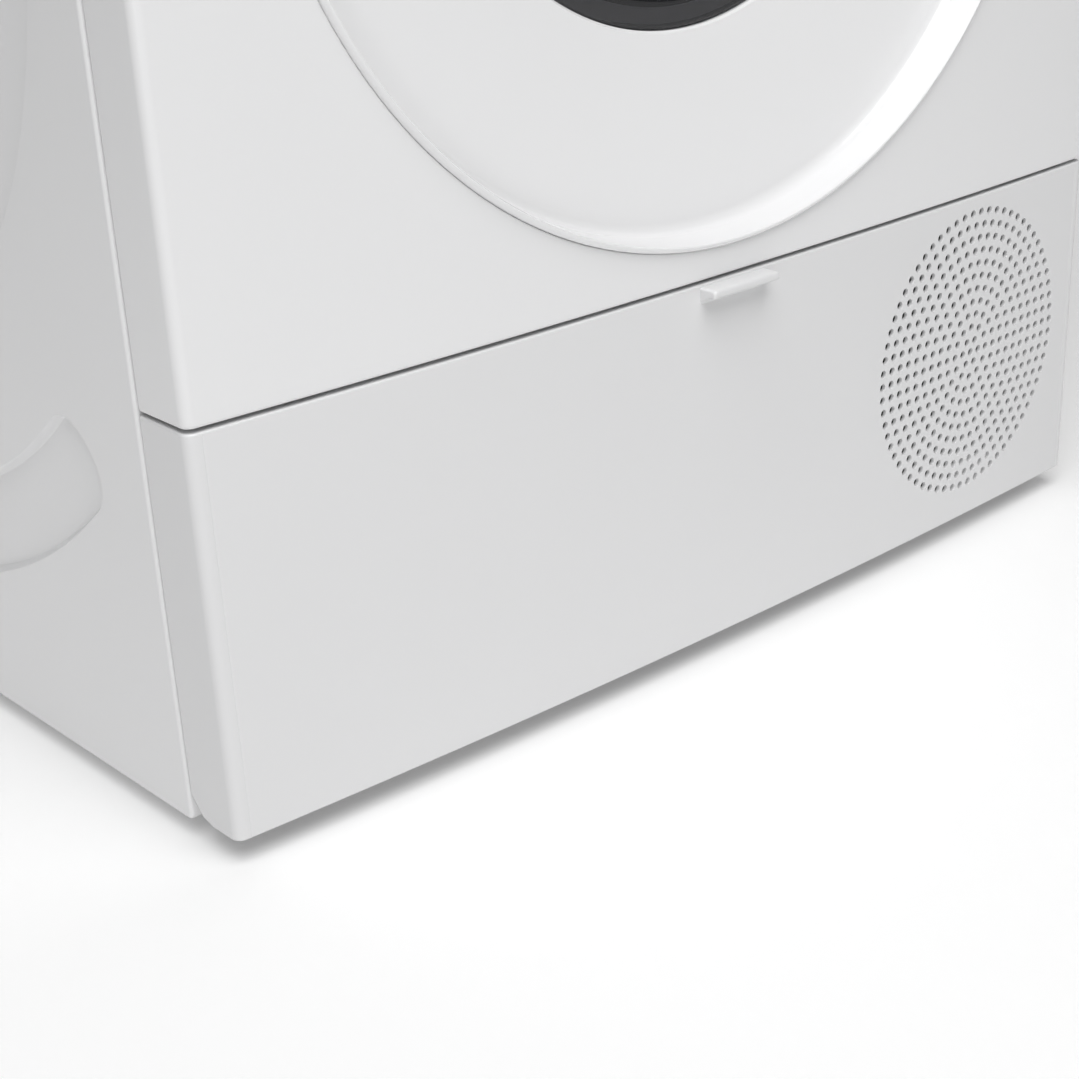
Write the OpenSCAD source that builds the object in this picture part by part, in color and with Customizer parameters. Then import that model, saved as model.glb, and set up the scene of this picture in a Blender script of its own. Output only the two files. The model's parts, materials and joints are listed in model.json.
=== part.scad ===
// Free-standing heat-pump clothes dryer.
// +Z is up, the front faces -Y, the origin is on the floor under the middle of the machine.

/* [Cabinet] */
// Width over the side panels
width = 600; // [590:1:720]
// Height to the top of the worktop
height = 850; // [840:1:1020]
// Depth from the front corners to the rear sheet
depth = 600; // [590:1:720]
// Thickness of the steel sheet
sheet = 1; // [0.8:0.1:1.5]
// Height of the side panels' lower edge above the floor
side_bottom = 10; // [8:0.5:14]
// How far the middle of the front stands out from its corners
bow = 8.64; // [4:0.1:10]
// Outer radius of the upright front corners
corner_r = 5; // [4:0.5:7]
// How far the front parts wrap around the sides
wrap = 34.3; // [30:0.1:45]

/* [Service flap] */
// Height of the flap's lower edge above the floor
flap_bottom = 13; // [12:0.5:16]
// Height of the flap's upper edge
flap_top = 199.4; // [198:0.1:205]
// Gap above the flap
flap_gap = 1.8; // [1.5:0.1:3]
// Thickness of the flap moulding
flap_wall = 2.5; // [2:0.1:3]
// Number of hole rings in the grille
grille_rings = 11; // [6:1:11]
// Distance between hole rings
grille_pitch = 7.146; // [6.5:0.001:7.2]
// Diameter of a grille hole
grille_hole = 4.3; // [3:0.1:4.6]
// Width of the pull tab
tab_width = 45; // [30:1:70]

/* [Door] */
// Outer radius of the door's ring
door_r = 245.6; // [236:0.1:250]
// Radius of the window
window_r = 150; // [125:1:160]

/* [Drum] */
// Largest drum radius that the cabinet may hold
drum_r_max = 280; // [240:1:300]
// Number of lifters in the drum
lifters = 3; // [2:1:4]
// Radius of a support roller
roller_r = 25; // [20:1:30]

/* [Controls] */
// Radius of the programme dial
dial_r = 24; // [18:1:28]
// Width of the water container
container_w = 192; // [160:1:220]
// Length of the water container
container_l = 430; // [300:1:440]

/* [Hidden] */
$fn = 96;
half_w = width / 2;
front = -depth / 2;
rear = depth / 2;
bow_r = (half_w * half_w + bow * bow) / (2 * bow);
side_front = front + wrap;

drum_z = height - 389;
drum_r = min(drum_r_max, half_w - 20);
drum_front = front + 95;
drum_rear = rear - 80;

panel_bottom = flap_top + flap_gap;
fascia_bottom = height - 126;
fascia_top = height - 35;
worktop_bottom = height - 33;

flap_pivot_y = front + 13;
flap_pivot_z = flap_bottom + 16;
grille_x = half_w - 104;
grille_z = (flap_bottom + flap_top) / 2 + 5.3;

ring_y = front - bow - 3;
// The latch stands near the door's rim, opposite the hinge.
latch_x = -(door_r - 26.6);
flange_y = front + 38;
hinge_x = door_r + 7.4;
// The knuckles stay clear of the bowed panel behind them.
hinge_y = bow_y(hinge_x) - 6.045;

motor_x = 30;
motor_z = 92;
pulley_r = 9;
belt_y = -2;
belt_w = 10;
belt_t = 1.2;
idler_r = 16;
roller_at = drum_r + roller_r + 0.1;
roller_angle = 35;

channel_left = -half_w + 16;
channel_right = -92;
channel_rear = rear - 104;
container_left = -half_w + 14;
container_bottom = fascia_bottom + 14;
container_top = container_bottom + 50;
dial_z = (fascia_bottom + fascia_top) / 2;

white = [0.93, 0.93, 0.93];
pale = [0.8, 0.8, 0.8];
steel = [0.65, 0.66, 0.68];
dark = [0.15, 0.15, 0.16];
copper = [0.72, 0.45, 0.3];

// ---- Helpers ----

// A block given by its two corners.
module block(x0, x1, y0, y1, z0, z1) {
    translate([x0, y0, z0]) cube([x1 - x0, y1 - y0, z1 - z0]);
}

// A rod along Y through the point (x, z).
module rod_y(x, z, r, y0, y1) {
    translate([x, y0, z]) rotate([-90, 0, 0]) cylinder(r = r, h = y1 - y0);
}

// A rod along X through the point (y, z).
module rod_x(y, z, r, x0, x1) {
    translate([x0, y, z]) rotate([0, 90, 0]) cylinder(r = r, h = x1 - x0);
}

// A tube along Y through the point (x, z).
module tube_y(x, z, r_out, r_in, y0, y1) {
    difference() {
        rod_y(x, z, r_out, y0, y1);
        rod_y(x, z, r_in, y0 - 1, y1 + 1);
    }
}

// A ring turned about the drum's axis from an outline of [radius, y] points.
module turned(outline) {
    translate([0, 0, drum_z]) rotate([-90, 0, 0]) rotate_extrude() polygon(outline);
}

// A four-walled box without its top, given by its outer corners.
module open_box(x0, x1, y0, y1, z0, z1, t) {
    difference() {
        block(x0, x1, y0, y1, z0, z1);
        block(x0 + t, x1 - t, y0 + t, y1 - t, z0 + t, z1 + 1);
    }
}

// Where the bowed front stands at a given x.
function bow_y(x) = front - bow * (1 - pow(x / half_w, 2));

// Plan of the machine with its bowed front, taken inwards by t and ending at y = back.
module front_plan(t, back) {
    r = bow_r - t;
    centre_y = front - bow + bow_r;
    corner_x = half_w - corner_r;
    corner_y = centre_y - sqrt(pow(bow_r - corner_r, 2) - pow(corner_x, 2));
    touch_x = corner_x * (bow_r - t) / (bow_r - corner_r);
    intersection() {
        translate([0, centre_y]) circle(r = r, $fn = 720);
        translate([-touch_x, front - bow - 1]) square([2 * touch_x, back - front + bow + 1]);
    }
    for (side = [-1, 1])
        translate([side * corner_x, corner_y]) circle(r = corner_r - t);
    translate([-half_w + t, corner_y]) square([width - 2 * t, back - corner_y]);
}

// A bowed front shell of wall t between two heights.
module front_shell(t, z0, z1, back) {
    translate([0, 0, z0]) linear_extrude(z1 - z0) difference() {
        front_plan(0, back);
        front_plan(t, back + 1);
    }
}

// ---- Cabinet ----

module base_tray() color(dark) {
    difference() {
        union() {
            open_box(-half_w + 9, half_w - 9, front + 45, rear - 2, 16, 60, 3);
            block(channel_left - 3, channel_left, front + 50, channel_rear + 3, 19, 150);
            block(channel_right, channel_right + 3, front + 50, channel_rear + 3, 19, 150);
            block(channel_left, channel_right, channel_rear, channel_rear + 3, 19, 150);
            for (side = [-1, 1]) {
                block(min(side * (half_w - 16), side * (half_w - 11)), max(side * (half_w - 16), side * (half_w - 11)),
                      flap_pivot_y, front + 46, flap_pivot_z - 7, flap_pivot_z + 7);
                rod_x(flap_pivot_y, flap_pivot_z, 7, side * (half_w - 13.5) - 2.5, side * (half_w - 13.5) + 2.5);
                for (y = [front + 65, rear - 50])
                    translate([side * (half_w - 60), y, 8.2]) cylinder(r = 14, h = 25.8);
            }
        }
        for (side = [-1, 1]) {
            rod_x(flap_pivot_y, flap_pivot_z, 3.05, side * (half_w - 13.5) - 4, side * (half_w - 13.5) + 4);
            for (y = [front + 65, rear - 50])
                translate([side * (half_w - 60), y, 0]) cylinder(r = 5.05, h = 50);
        }
        block(channel_left + 4, channel_right - 4, front + 44, front + 49, 24, 61);
    }
}

// Outline of the pressings in a side panel, in (y, z), each grown by g: a round field in the middle,
// and a band around it below and above.
module side_pressings(g) {
    press_y = 7.4;
    press_z = drum_z - 42.4;
    band_turn = 42.7;
    reach = 400;
    translate([press_y, press_z]) {
        circle(r = 242 + g);
        for (up = [0, 1]) mirror([0, up]) intersection() {
            difference() {
                circle(r = 357 + g);
                circle(r = 311 - g);
            }
            polygon([[0, 2 * g], [-reach * tan(band_turn), 2 * g - reach], [reach * tan(band_turn), 2 * g - reach]]);
        }
    }
}

// The left side panel: a sheet with folded edges and pressings that stand inwards.
module side_panel() {
    x0 = -half_w;
    difference() {
        union() {
            difference() {
                block(x0, x0 + sheet, side_front + 0.5, rear, side_bottom, fascia_top);
                translate([x0 - 1, side_front + 0.5, side_bottom]) rotate([0, 90, 0])
                    translate([-3, 0, 0]) difference() {
                        translate([0, -1, 0]) cube([4, 4, 4]);
                        translate([0, 3, -1]) cylinder(r = 3, h = 6);
                    }
            }
            block(x0, x0 + 10.5, side_front + 0.5, side_front + 0.5 + sheet, side_bottom + 3, fascia_top);
            block(x0, x0 + 16, side_front + 20, rear, side_bottom, side_bottom + sheet);
            block(x0, x0 + 16, side_front + 20, rear, fascia_top - sheet, fascia_top);
            block(x0, x0 + 16, rear - sheet, rear, side_bottom, fascia_top);
            translate([x0, 0, 0]) multmatrix([[0, 0, 1, 0], [1, 0, 0, 0], [0, 1, 0, 0]])
                linear_extrude(3.5 + sheet) side_pressings(1.5);
        }
        translate([x0 - 1, 0, 0]) multmatrix([[0, 0, 1, 0], [1, 0, 0, 0], [0, 1, 0, 0]])
            linear_extrude(4.5) side_pressings(0);
    }
}

module left_side_panel() color(white) side_panel();

module right_side_panel() color(white) mirror([1, 0, 0]) side_panel();

module rear_panel() color(steel) difference() {
    block(-half_w + 4, half_w - 4, rear, rear + sheet, 30, height - 38);
    rod_y(0, drum_z, 190, rear - 1, rear + 3);
    block(-60, 100, rear - 1, rear + 3, 60, 150);
    for (row = [0 : 7])
        block(130, half_w - 60, rear - 1, rear + 3, 60 + row * 14, 66 + row * 14);
    rod_y(half_w - 60, 200, 8.2, rear - 1, rear + 3);
    rod_y(-half_w + 80, 200, 9.2, rear - 1, rear + 3);
}

// Plan of the rear duct: a round hood with a neck that runs down to the fan.
module duct_plan(t) {
    translate([0, drum_z]) circle(r = 212 - t);
    translate([-90 + t, 46 + t]) square([220 - 2 * t, drum_z - 46 - t]);
}

module rear_duct_cover() color(steel) difference() {
    translate([0, rear + sheet + 17.64, 0]) rotate([90, 0, 0]) linear_extrude(17.64) duct_plan(0);
    translate([0, rear + sheet + 16.14, 0]) rotate([90, 0, 0]) linear_extrude(17) duct_plan(1.5);
}

module top_crossbars() color(steel) {
    for (y = [front + 38, rear - 28]) difference() {
        block(-half_w + 2, half_w - 2, y, y + 22, height - 50, height - 36.5);
        block(-half_w + 1, half_w - 1, y + 1.5, y + 20.5, height - 51, height - 38);
    }
}

module worktop() color(white)
    translate([0, 0, worktop_bottom]) linear_extrude(height - worktop_bottom) front_plan(0, rear + 5);

module front_panel() color(white) difference() {
    union() {
        front_shell(sheet, panel_bottom, fascia_bottom - 2, side_front);
        for (z = [panel_bottom, fascia_bottom - 2 - sheet])
            translate([0, 0, z]) linear_extrude(sheet) difference() {
                front_plan(0.5, front + 12);
                translate([-width, front + 12]) square([2 * width, 200]);
            }
        intersection() {
            tube_y(0, drum_z, door_r + 2, door_r + 1, front - 20, front + 10);
            translate([0, 0, panel_bottom]) linear_extrude(fascia_bottom - 3 - panel_bottom)
                front_plan(0.5, side_front);
        }
    }
    rod_y(0, drum_z, door_r + 1, front - 20, side_front + 1);
    block(hinge_x - 3.6, hinge_x + 3.6, front - 20, front + 5, drum_z - 18.6, drum_z + 18.6);
    block(hinge_x - 12, hinge_x - 5.4, front - 20, front + 12, drum_z - 39, drum_z + 39);
}

module control_fascia() color(white) difference() {
    union() {
        front_shell(2.5, fascia_bottom, fascia_top, side_front);
        translate([0, 0, fascia_bottom]) linear_extrude(2) difference() {
            front_plan(0.5, front + 15);
            translate([-width, front + 15]) square([2 * width, 200]);
        }
    }
    block(container_left - 2, container_left + container_w + 2, front - 20, front + 10,
          container_bottom - 2, container_top + 14);
    block(61.8, 188.2, front - 20, front + 10, dial_z - 17.2, dial_z + 17.2);
    rod_y(0, dial_z, 3.6, front - 20, front + 10);
    rod_y(-60, dial_z, 8.4, front - 20, front + 10);
    rod_y(half_w - 55, dial_z, 12.4, front - 20, front + 10);
}

module display_window() color(dark) intersection() {
    front_shell(2.5, dial_z - 17, dial_z + 17, side_front);
    block(62, 188, front - 20, front + 10, dial_z - 17, dial_z + 17);
}

module control_board() color([0.1, 0.35, 0.2]) difference() {
    union() {
        block(-82, half_w - 25, front + 8, front + 9.6, dial_z - 26, dial_z + 26);
        rod_y(0, dial_z, 7, front + 1, front + 8);
        block(70, 180, front + 2, front + 8, dial_z - 12, dial_z + 12);
        block(20, 52, front + 9.6, front + 24, dial_z - 16, dial_z + 16);
        for (i = [0 : 2])
            rod_y(150 + i * 14, dial_z + 12, 5, front + 9.6, front + 26);
    }
    rod_y(0, dial_z, 3.05, front - 1, front + 9);
}

// ---- Drum support ----

// The front bulkhead: a plate, the mouth's collar pressed into it and a ring that carries the drum.
module front_bulkhead() color(pale) {
    difference() {
        union() {
            block(-half_w + 12, half_w - 12, front + 85, front + 88, 202, container_bottom - 2.8);
            block(container_left, container_left + container_w, front + 75, front + 95,
                  container_bottom - 2.8, container_bottom - 0.3);
        }
        rod_y(0, drum_z, 193.05, front + 30, front + 100);
    }
    difference() {
        turned([[190, flange_y], [236, flange_y], [236, flange_y + 3], [193, flange_y + 3],
                [193, front + 88], [190, front + 88]]);
        block(-78, 78, front + 43, front + 83, drum_z - 200, drum_z - 150);
        block(-14, 14, front + 52, front + 76, drum_z + 180, drum_z + 200);
        block(latch_x - 15, latch_x + 7, flange_y - 1, flange_y + 4, drum_z - 12, drum_z + 12);
    }
    tube_y(0, drum_z, drum_r - 6, drum_r - 10, front + 88.05, drum_front + 18);
}

module rear_bulkhead() color(steel) difference() {
    union() {
        block(-half_w + 12, half_w - 12, rear - 73, rear - 71.5, 202, height - 112);
        tube_y(0, drum_z, drum_r - 6, drum_r - 7.5, drum_rear - 18, rear - 72);
        tube_y(0, drum_z, 203, 201.5, rear - 72, rear - 0.3);
    }
    for (ring = [2 : 5]) for (i = [0 : 6 * ring - 1])
        translate([0, 0, drum_z]) rotate([0, 360 * i / (6 * ring), 0])
            rod_y(ring * 30, 0, 7, rear - 80, rear - 60);
}

module drum_seals() color([0.5, 0.5, 0.48]) {
    tube_y(0, drum_z, drum_r - 1.6, drum_r - 6, drum_front + 2, drum_front + 16);
    tube_y(0, drum_z, drum_r - 1.6, drum_r - 6, drum_rear - 16, drum_rear - 2);
}

module drum_shell() color(steel) {
    tube_y(0, drum_z, drum_r, drum_r - 1, drum_front, drum_rear);
}

module drum_lifters() color(pale) {
    for (i = [0 : lifters - 1]) translate([0, 0, drum_z]) rotate([0, 90 + 360 * i / lifters, 0])
        intersection() {
            rotate([-90, 0, 0]) translate([0, 0, drum_front + 24]) linear_extrude(drum_rear - drum_front - 48)
                polygon([[drum_r - 50, -9], [drum_r - 50, 9], [drum_r - 4, 36], [drum_r + 4, 36],
                         [drum_r + 4, -36], [drum_r - 4, -36]]);
            rod_y(0, 0, drum_r - 1, drum_front, drum_rear);
        }
}

// Places a child at the middle of a rear roller.
module at_roller(side) {
    translate([side * roller_at * sin(roller_angle), 0, drum_z - roller_at * cos(roller_angle)]) children();
}

module roller() color(dark) difference() {
    union() {
        rod_y(0, 0, roller_r, drum_rear - 22, drum_rear - 4);
        rod_y(0, 0, 9, drum_rear - 24, drum_rear - 2);
    }
    rod_y(0, 0, 5.05, drum_rear - 30, drum_rear + 4);
}

module roller_left() at_roller(-1) roller();

module roller_right() at_roller(1) roller();

module roller_axles() color(steel) for (side = [-1, 1]) at_roller(side) {
    rod_y(0, 0, 5, drum_rear - 26, rear - 73);
    rod_y(0, 0, 8, drum_rear - 29, drum_rear - 25);
}

// ---- Drive ----

module motor_housing() color(steel) difference() {
    union() {
        rod_y(motor_x, motor_z, 58, 20, 120);
        rod_y(motor_x, motor_z, 20, 12, 130);
        block(motor_x - 50, motor_x + 50, 30, 110, 19, 60);
        block(motor_x - 62, motor_x + 10, 12, 20, 30, 60);
        rod_y(arm_pivot[0], arm_pivot[1], 4, belt_y - 6, 20);
    }
    rod_y(motor_x, motor_z, 50, 26, 114);
    rod_y(motor_x, motor_z, 6.05, 0, 140);
    block(motor_x - 30, motor_x + 30, 40, 100, 18, 30);
}

module motor_rotor() color(steel) {
    rod_y(motor_x, motor_z, 6, -14, 192);
    rod_y(motor_x, motor_z, 40, 36, 104);
    rod_y(motor_x, motor_z, pulley_r, belt_y - belt_w / 2 - 1, belt_y + belt_w / 2 + 1);
}

module fan_wheel() color(dark) difference() {
    union() {
        rod_y(motor_x, motor_z, 14, 150, 188);
        rod_y(motor_x, motor_z, 64, 184, 188);
        for (i = [0 : 23]) translate([motor_x, 0, motor_z]) rotate([0, i * 15, 0])
            block(46, 63, 152, 185, -1, 1);
        tube_y(motor_x, motor_z, 64, 46, 150, 153);
    }
    rod_y(motor_x, motor_z, 6, 140, 200);
}

module fan_housing() color(dark) difference() {
    block(channel_right + 6, motor_x + 80, 144, 199, 21, 166);
    block(channel_right + 9, motor_x + 77, 147, 196, 24, 163);
    rod_y(motor_x, motor_z, 44, 140, 150);
    block(channel_right + 10, 90, 190, 205, 60, 150);
    block(channel_right + 1, channel_right + 20, 150, 190, 40, 140);
}

// Plan of the belt's path around the drum and the pulley, grown by t.
module belt_plan(t) hull() {
    translate([0, drum_z]) circle(r = drum_r + 0.2 + t);
    translate([motor_x, motor_z]) circle(r = pulley_r + 0.2 + t, $fn = 32);
}

module drive_belt() color(dark) translate([0, belt_y + belt_w / 2, 0]) rotate([90, 0, 0])
    linear_extrude(belt_w) difference() {
        belt_plan(belt_t);
        belt_plan(0);
    }

// The straight run of the belt on the left: its direction and where the idler touches it.
run_gap = sqrt(pow(motor_x, 2) + pow(drum_z - motor_z, 2));
run_turn = acos((drum_r - pulley_r) / run_gap);
run_out = -90 + atan2(motor_x, drum_z - motor_z) - run_turn;
run_normal = [cos(run_out), sin(run_out)];
run_along = [-sin(run_out), cos(run_out)];
idler_at = [motor_x, motor_z] + (pulley_r + 0.2 + belt_t + idler_r + 0.4) * run_normal - 70 * run_along;
arm_pivot = [motor_x - 55, 46];
arm_lean = atan2(idler_at[0] - arm_pivot[0], idler_at[1] - arm_pivot[1]);

module idler_pulley() color(dark) difference() {
    rod_y(idler_at[0], idler_at[1], idler_r, belt_y - 7, belt_y + 7);
    rod_y(idler_at[0], idler_at[1], 4.05, belt_y - 10, belt_y + 10);
}

module tensioner_arm() color(steel) difference() {
    union() {
        translate([arm_pivot[0], belt_y - 12, arm_pivot[1]]) rotate([0, arm_lean, 0])
            block(-7, 7, 0, 4, 0, norm(idler_at - arm_pivot));
        rod_y(idler_at[0], idler_at[1], 8, belt_y - 12.5, belt_y - 7.5);
        rod_y(idler_at[0], idler_at[1], 4, belt_y - 9, belt_y + 9);
        rod_y(arm_pivot[0], arm_pivot[1], 9, belt_y - 12.5, belt_y - 2);
    }
    rod_y(arm_pivot[0], arm_pivot[1], 4.05, belt_y - 6, belt_y);
}

// ---- Heat pump ----

// A finned block with tube bends on its left side.
module coil(y0, y1) difference() {
    block(channel_left + 6, channel_right - 6, y0, y1, 38, 144);
    for (x = [channel_left + 16 : 8 : channel_right - 14])
        block(x, x + 4, y0 - 1, y1 + 1, 44, 138);
}

module evaporator() color(pale) coil(front + 110, -88);

module condenser() color(pale) coil(-76, channel_rear - 150);

module compressor() color(dark) {
    translate([half_w - 104, 110, 0]) {
        rotate_extrude() polygon([[0, 44], [48, 44], [56, 52], [60, 60], [60, 172], [54, 188],
                                  [40, 198], [20, 204], [0, 205]]);
        for (i = [0 : 2]) rotate([0, 0, 120 * i + 90]) {
            block(30, 80, -12, 12, 40, 44);
            translate([72, 0, 36]) cylinder(r = 4, h = 12);
        }
    }
}

module compressor_mounts() color(dark) translate([half_w - 104, 110, 0])
    for (i = [0 : 2]) rotate([0, 0, 120 * i + 90]) translate([72, 0, 19]) difference() {
        cylinder(r = 12, h = 20.9);
        translate([0, 0, 16.9]) cylinder(r = 4.05, h = 10);
    }

module pipe_run(points, r) for (i = [0 : len(points) - 2]) {
    step = points[i + 1] - points[i];
    length = norm(step);
    translate(points[i]) rotate([0, acos(step[2] / length), atan2(step[1], step[0])])
        cylinder(r = r, h = length, $fn = 32);
    translate(points[i + 1]) sphere(r = r + 0.5, $fn = 32);
}

module refrigerant_pipes() color(copper) {
    pipe_run([[half_w - 170, -20, 120], [half_w - 170, -20, 152], [channel_right + 12, -20, 152]], 4);
    pipe_run([[half_w - 104, 45, 60], [half_w - 104, -20, 60], [half_w - 170, -20, 120]], 4);
    rod_x(-60, 60, 4, channel_right + 12, half_w - 129);
    rod_x(-60, 60, 10, half_w - 130, half_w - 70);
}

module air_channel_lid() color(dark) difference() {
    block(channel_left - 3, channel_right + 3, front + 50, channel_rear + 3, 150.2, 153);
    block(channel_left + 10, channel_right - 10, front + 52, front + 80, 149, 154);
}

module heat_exchanger_cover() color(pale) difference() {
    union() {
        block(channel_left, channel_right, front + 38, front + 42, 26, 148);
        block(channel_left + 6, channel_right - 6, front + 42, front + 52, 62, 142);
        for (x = [channel_left + 30, channel_right - 42])
            block(x, x + 12, front + 28, front + 38, 78, 110);
    }
    block(channel_left + 9, channel_right - 9, front + 45, front + 53, 65, 139);
}

module heat_exchanger_filter() color([0.3, 0.3, 0.32]) difference() {
    block(channel_left + 6, channel_right - 6, front + 60, front + 84, 38, 144);
    for (ix = [0 : 8]) for (iz = [0 : 4])
        block(channel_left + 12 + ix * 19, channel_left + 28 + ix * 19, front + 59, front + 85,
              44 + iz * 19.4, 60 + iz * 19.4);
}

module front_air_duct() color(dark) difference() {
    union() {
        block(-83, 83, front + 42, front + 84.5, 205, drum_z - 170);
        block(channel_left + 2, 83, front + 42, front + 84.5, 153.2, 207);
    }
    block(-81, 81, front + 44, front + 82.5, 200, drum_z - 160);
    block(channel_left + 4, 81, front + 44, front + 82.5, 155.2, 205);
    block(channel_left + 12, channel_right - 12, front + 54, front + 78, 150, 160);
    rod_y(0, drum_z, 193.3, front, 0);
}

module lint_filter() color(pale) difference() {
    union() {
        block(-75, 75, front + 47, front + 79, 212, drum_z - 191);
        block(-30, 30, front + 61, front + 65, drum_z - 191, drum_z - 178);
    }
    block(-72, 72, front + 50, front + 76, 215, drum_z - 194);
    block(-70, 70, front + 51, front + 59, drum_z - 195, drum_z - 190);
    for (ix = [0 : 9])
        block(-70 + ix * 14.2, -59 + ix * 14.2, front + 46, front + 80, 218, drum_z - 200);
}

module condensate_pump() color(pale) {
    block(channel_left + 64, channel_left + 144, rear - 90, rear - 20, 19, 100);
    rod_y(channel_left + 104, 80, 6, rear - 20, rear - 6);
    translate([channel_left + 104, rear - 55, 100]) cylinder(r = 22, h = 30);
}

module cooling_fan_housing() color(dark) difference() {
    block(grille_x - 75, grille_x + 75, front + 55, front + 85, grille_z - 75, grille_z + 75);
    difference() {
        rod_y(grille_x, grille_z, 71, front + 54, front + 86);
        rod_y(grille_x, grille_z, 18, front + 76, front + 85);
        for (i = [0 : 3]) translate([grille_x, 0, grille_z]) rotate([0, 45 + 90 * i, 0])
            block(10, 75, front + 80, front + 85, -3, 3);
    }
    rod_y(grille_x, grille_z, 3.05, front + 70, front + 90);
}

module cooling_fan_blade() color(dark) {
    rod_y(grille_x, grille_z, 18, front + 60, front + 75);
    rod_y(grille_x, grille_z, 3, front + 74, front + 84);
    for (i = [0 : 6]) translate([grille_x, front + 67.5, grille_z]) rotate([0, i * 360 / 7, 0])
        rotate([28, 0, 0]) translate([14, -1, -15]) cube([54, 2, 30]);
}

// ---- Rear fittings, feet and fasteners ----

module drain_spigot() color(dark) difference() {
    union() {
        rod_y(-half_w + 80, 200, 14, rear + sheet, rear + sheet + 3);
        rod_y(-half_w + 80, 200, 9, rear - 12, rear + sheet);
        rod_y(-half_w + 80, 200, 7, rear + sheet + 2, rear + sheet + 17);
    }
    rod_y(-half_w + 80, 200, 4, rear - 14, rear + 30);
}

module cord_inlet() color(dark) difference() {
    union() {
        rod_y(half_w - 60, 200, 13, rear + sheet, rear + sheet + 4);
        rod_y(half_w - 60, 200, 8, rear - 14, rear + sheet + 1);
    }
    rod_y(half_w - 60, 200, 4.2, rear - 16, rear + 20);
}

module panel_screws() color(steel) {
    for (side = [-1, 1]) for (z = [60 : (height - 110 - 60) / 4 : height - 109])
        rod_y(side * (half_w - 10), z, 4, rear + sheet, rear + sheet + 2.4);
    for (x = [-150 : 100 : 150])
        rod_y(x, height - 46, 4, rear + sheet, rear + sheet + 2.4);
}

module foot_shape() {
    cylinder(r = 22, h = 8);
    cylinder(r = 5, h = 32);
}

module front_foot_left() color(dark) translate([-half_w + 60, front + 65, 0]) foot_shape();

module front_foot_right() color(dark) translate([half_w - 60, front + 65, 0]) foot_shape();

module rear_feet() color(dark) for (side = [-1, 1])
    translate([side * (half_w - 60), rear - 50, 0]) foot_shape();

module drum_lamp() color([1, 0.95, 0.8])
    block(-13.5, 13.5, front + 52.5, front + 75.5, drum_z + 187, drum_z + 200);

// ---- Door ----

// The ring's cross-section as [radius, y] points: rim, steep wall, fillet and a dish that runs inwards.
ring_wall = 2.2;
fillet_r = 7;
fillet_steps = 8;
dish_lean = 8;
fillet_at = [door_r - 4.9 - fillet_r, ring_y + 14.2];
function fillet_arc(r) = [for (i = [0 : fillet_steps])
    let (a = (90 - dish_lean) * i / fillet_steps) fillet_at + r * [cos(a), sin(a)]];
function dish_y(r) = fillet_at[1] + fillet_r + (fillet_at[0] - r) * tan(dish_lean);

ring_outline = concat(
    [[door_r - 2.6, ring_y + 1], [door_r - 2.2, ring_y], [door_r - 1.2, ring_y], [door_r, ring_y + 1.2],
     [door_r, ring_y + 16]],
    fillet_arc(fillet_r + ring_wall),
    [[window_r + 6, dish_y(window_r + 6) + ring_wall], [window_r + 6, ring_y + 39.6],
     [window_r, ring_y + 39.6], [window_r, dish_y(window_r)]],
    [for (i = [fillet_steps : -1 : 0]) fillet_arc(fillet_r)[i]]);

// A wedge of the grip at the door's left, between two radii and two depths.
module grip_wedge(r0, r1, y0, y1, half_angle) translate([0, y0, drum_z]) rotate([-90, 0, 0])
    linear_extrude(y1 - y0) intersection() {
        difference() {
            circle(r = r1);
            circle(r = r0);
        }
        polygon([[0, 0], [-400, 400 * tan(half_angle)], [-400, -400 * tan(half_angle)]]);
    }

module door_ring() color(white) difference() {
    union() {
        difference() {
            turned(ring_outline);
            grip_wedge(window_r + 44, door_r - 12, ring_y - 1, ring_y + 50, 14);
        }
        intersection() {
            difference() {
                grip_wedge(window_r + 42, door_r - 0.4, ring_y + 20, ring_y + 37, 15);
                grip_wedge(window_r + 44, door_r - 2.6, ring_y + 23.6, ring_y + 35, 14);
                grip_wedge(window_r + 44, door_r - 12, ring_y, ring_y + 35, 14);
            }
            turned([[0, ring_y + 60], [door_r, ring_y + 60], [door_r, fillet_at[1] + fillet_r],
                    [fillet_at[0], fillet_at[1] + fillet_r], [window_r, dish_y(window_r)], [0, ring_y + 34]]);
        }
    }
    for (side = [-1, 1]) translate([0, 0, drum_z + side * 28.25])
        block(hinge_x - 9.6, hinge_x + 5, ring_y + 1.9, ring_y + 50, -10.2, 10.2);
}

module door_inner_frame() color(pale) difference() {
    turned([[window_r - 10, ring_y + 39.6], [door_r - 7.6, ring_y + 39.6], [door_r - 7.6, ring_y + 43.6],
            [window_r - 10, ring_y + 43.6]]);
    for (a = [0 : 45 : 315]) translate([0, 0, drum_z]) rotate([0, a + 22.5, 0])
        rod_y(door_r - 24, 0, 2.2, ring_y + 30, ring_y + 50);
}

module door_window() color([0.25, 0.25, 0.28]) turned([
    [0, ring_y + 102], [window_r - 36, ring_y + 102], [window_r - 28, ring_y + 98], [window_r - 10.5, ring_y + 48],
    [window_r - 10.5, ring_y + 39.6], [window_r - 0.4, ring_y + 39.6], [window_r - 0.4, ring_y + 34.6],
    [window_r - 15.5, ring_y + 34.6], [window_r - 15.5, ring_y + 47], [window_r - 32, ring_y + 94],
    [window_r - 38, ring_y + 97], [0, ring_y + 97]]);

module door_seal() color(dark) turned([[197, ring_y + 43.6], [207, ring_y + 43.6], [205, ring_y + 49.2],
                                       [199, ring_y + 49.2]]);

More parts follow.
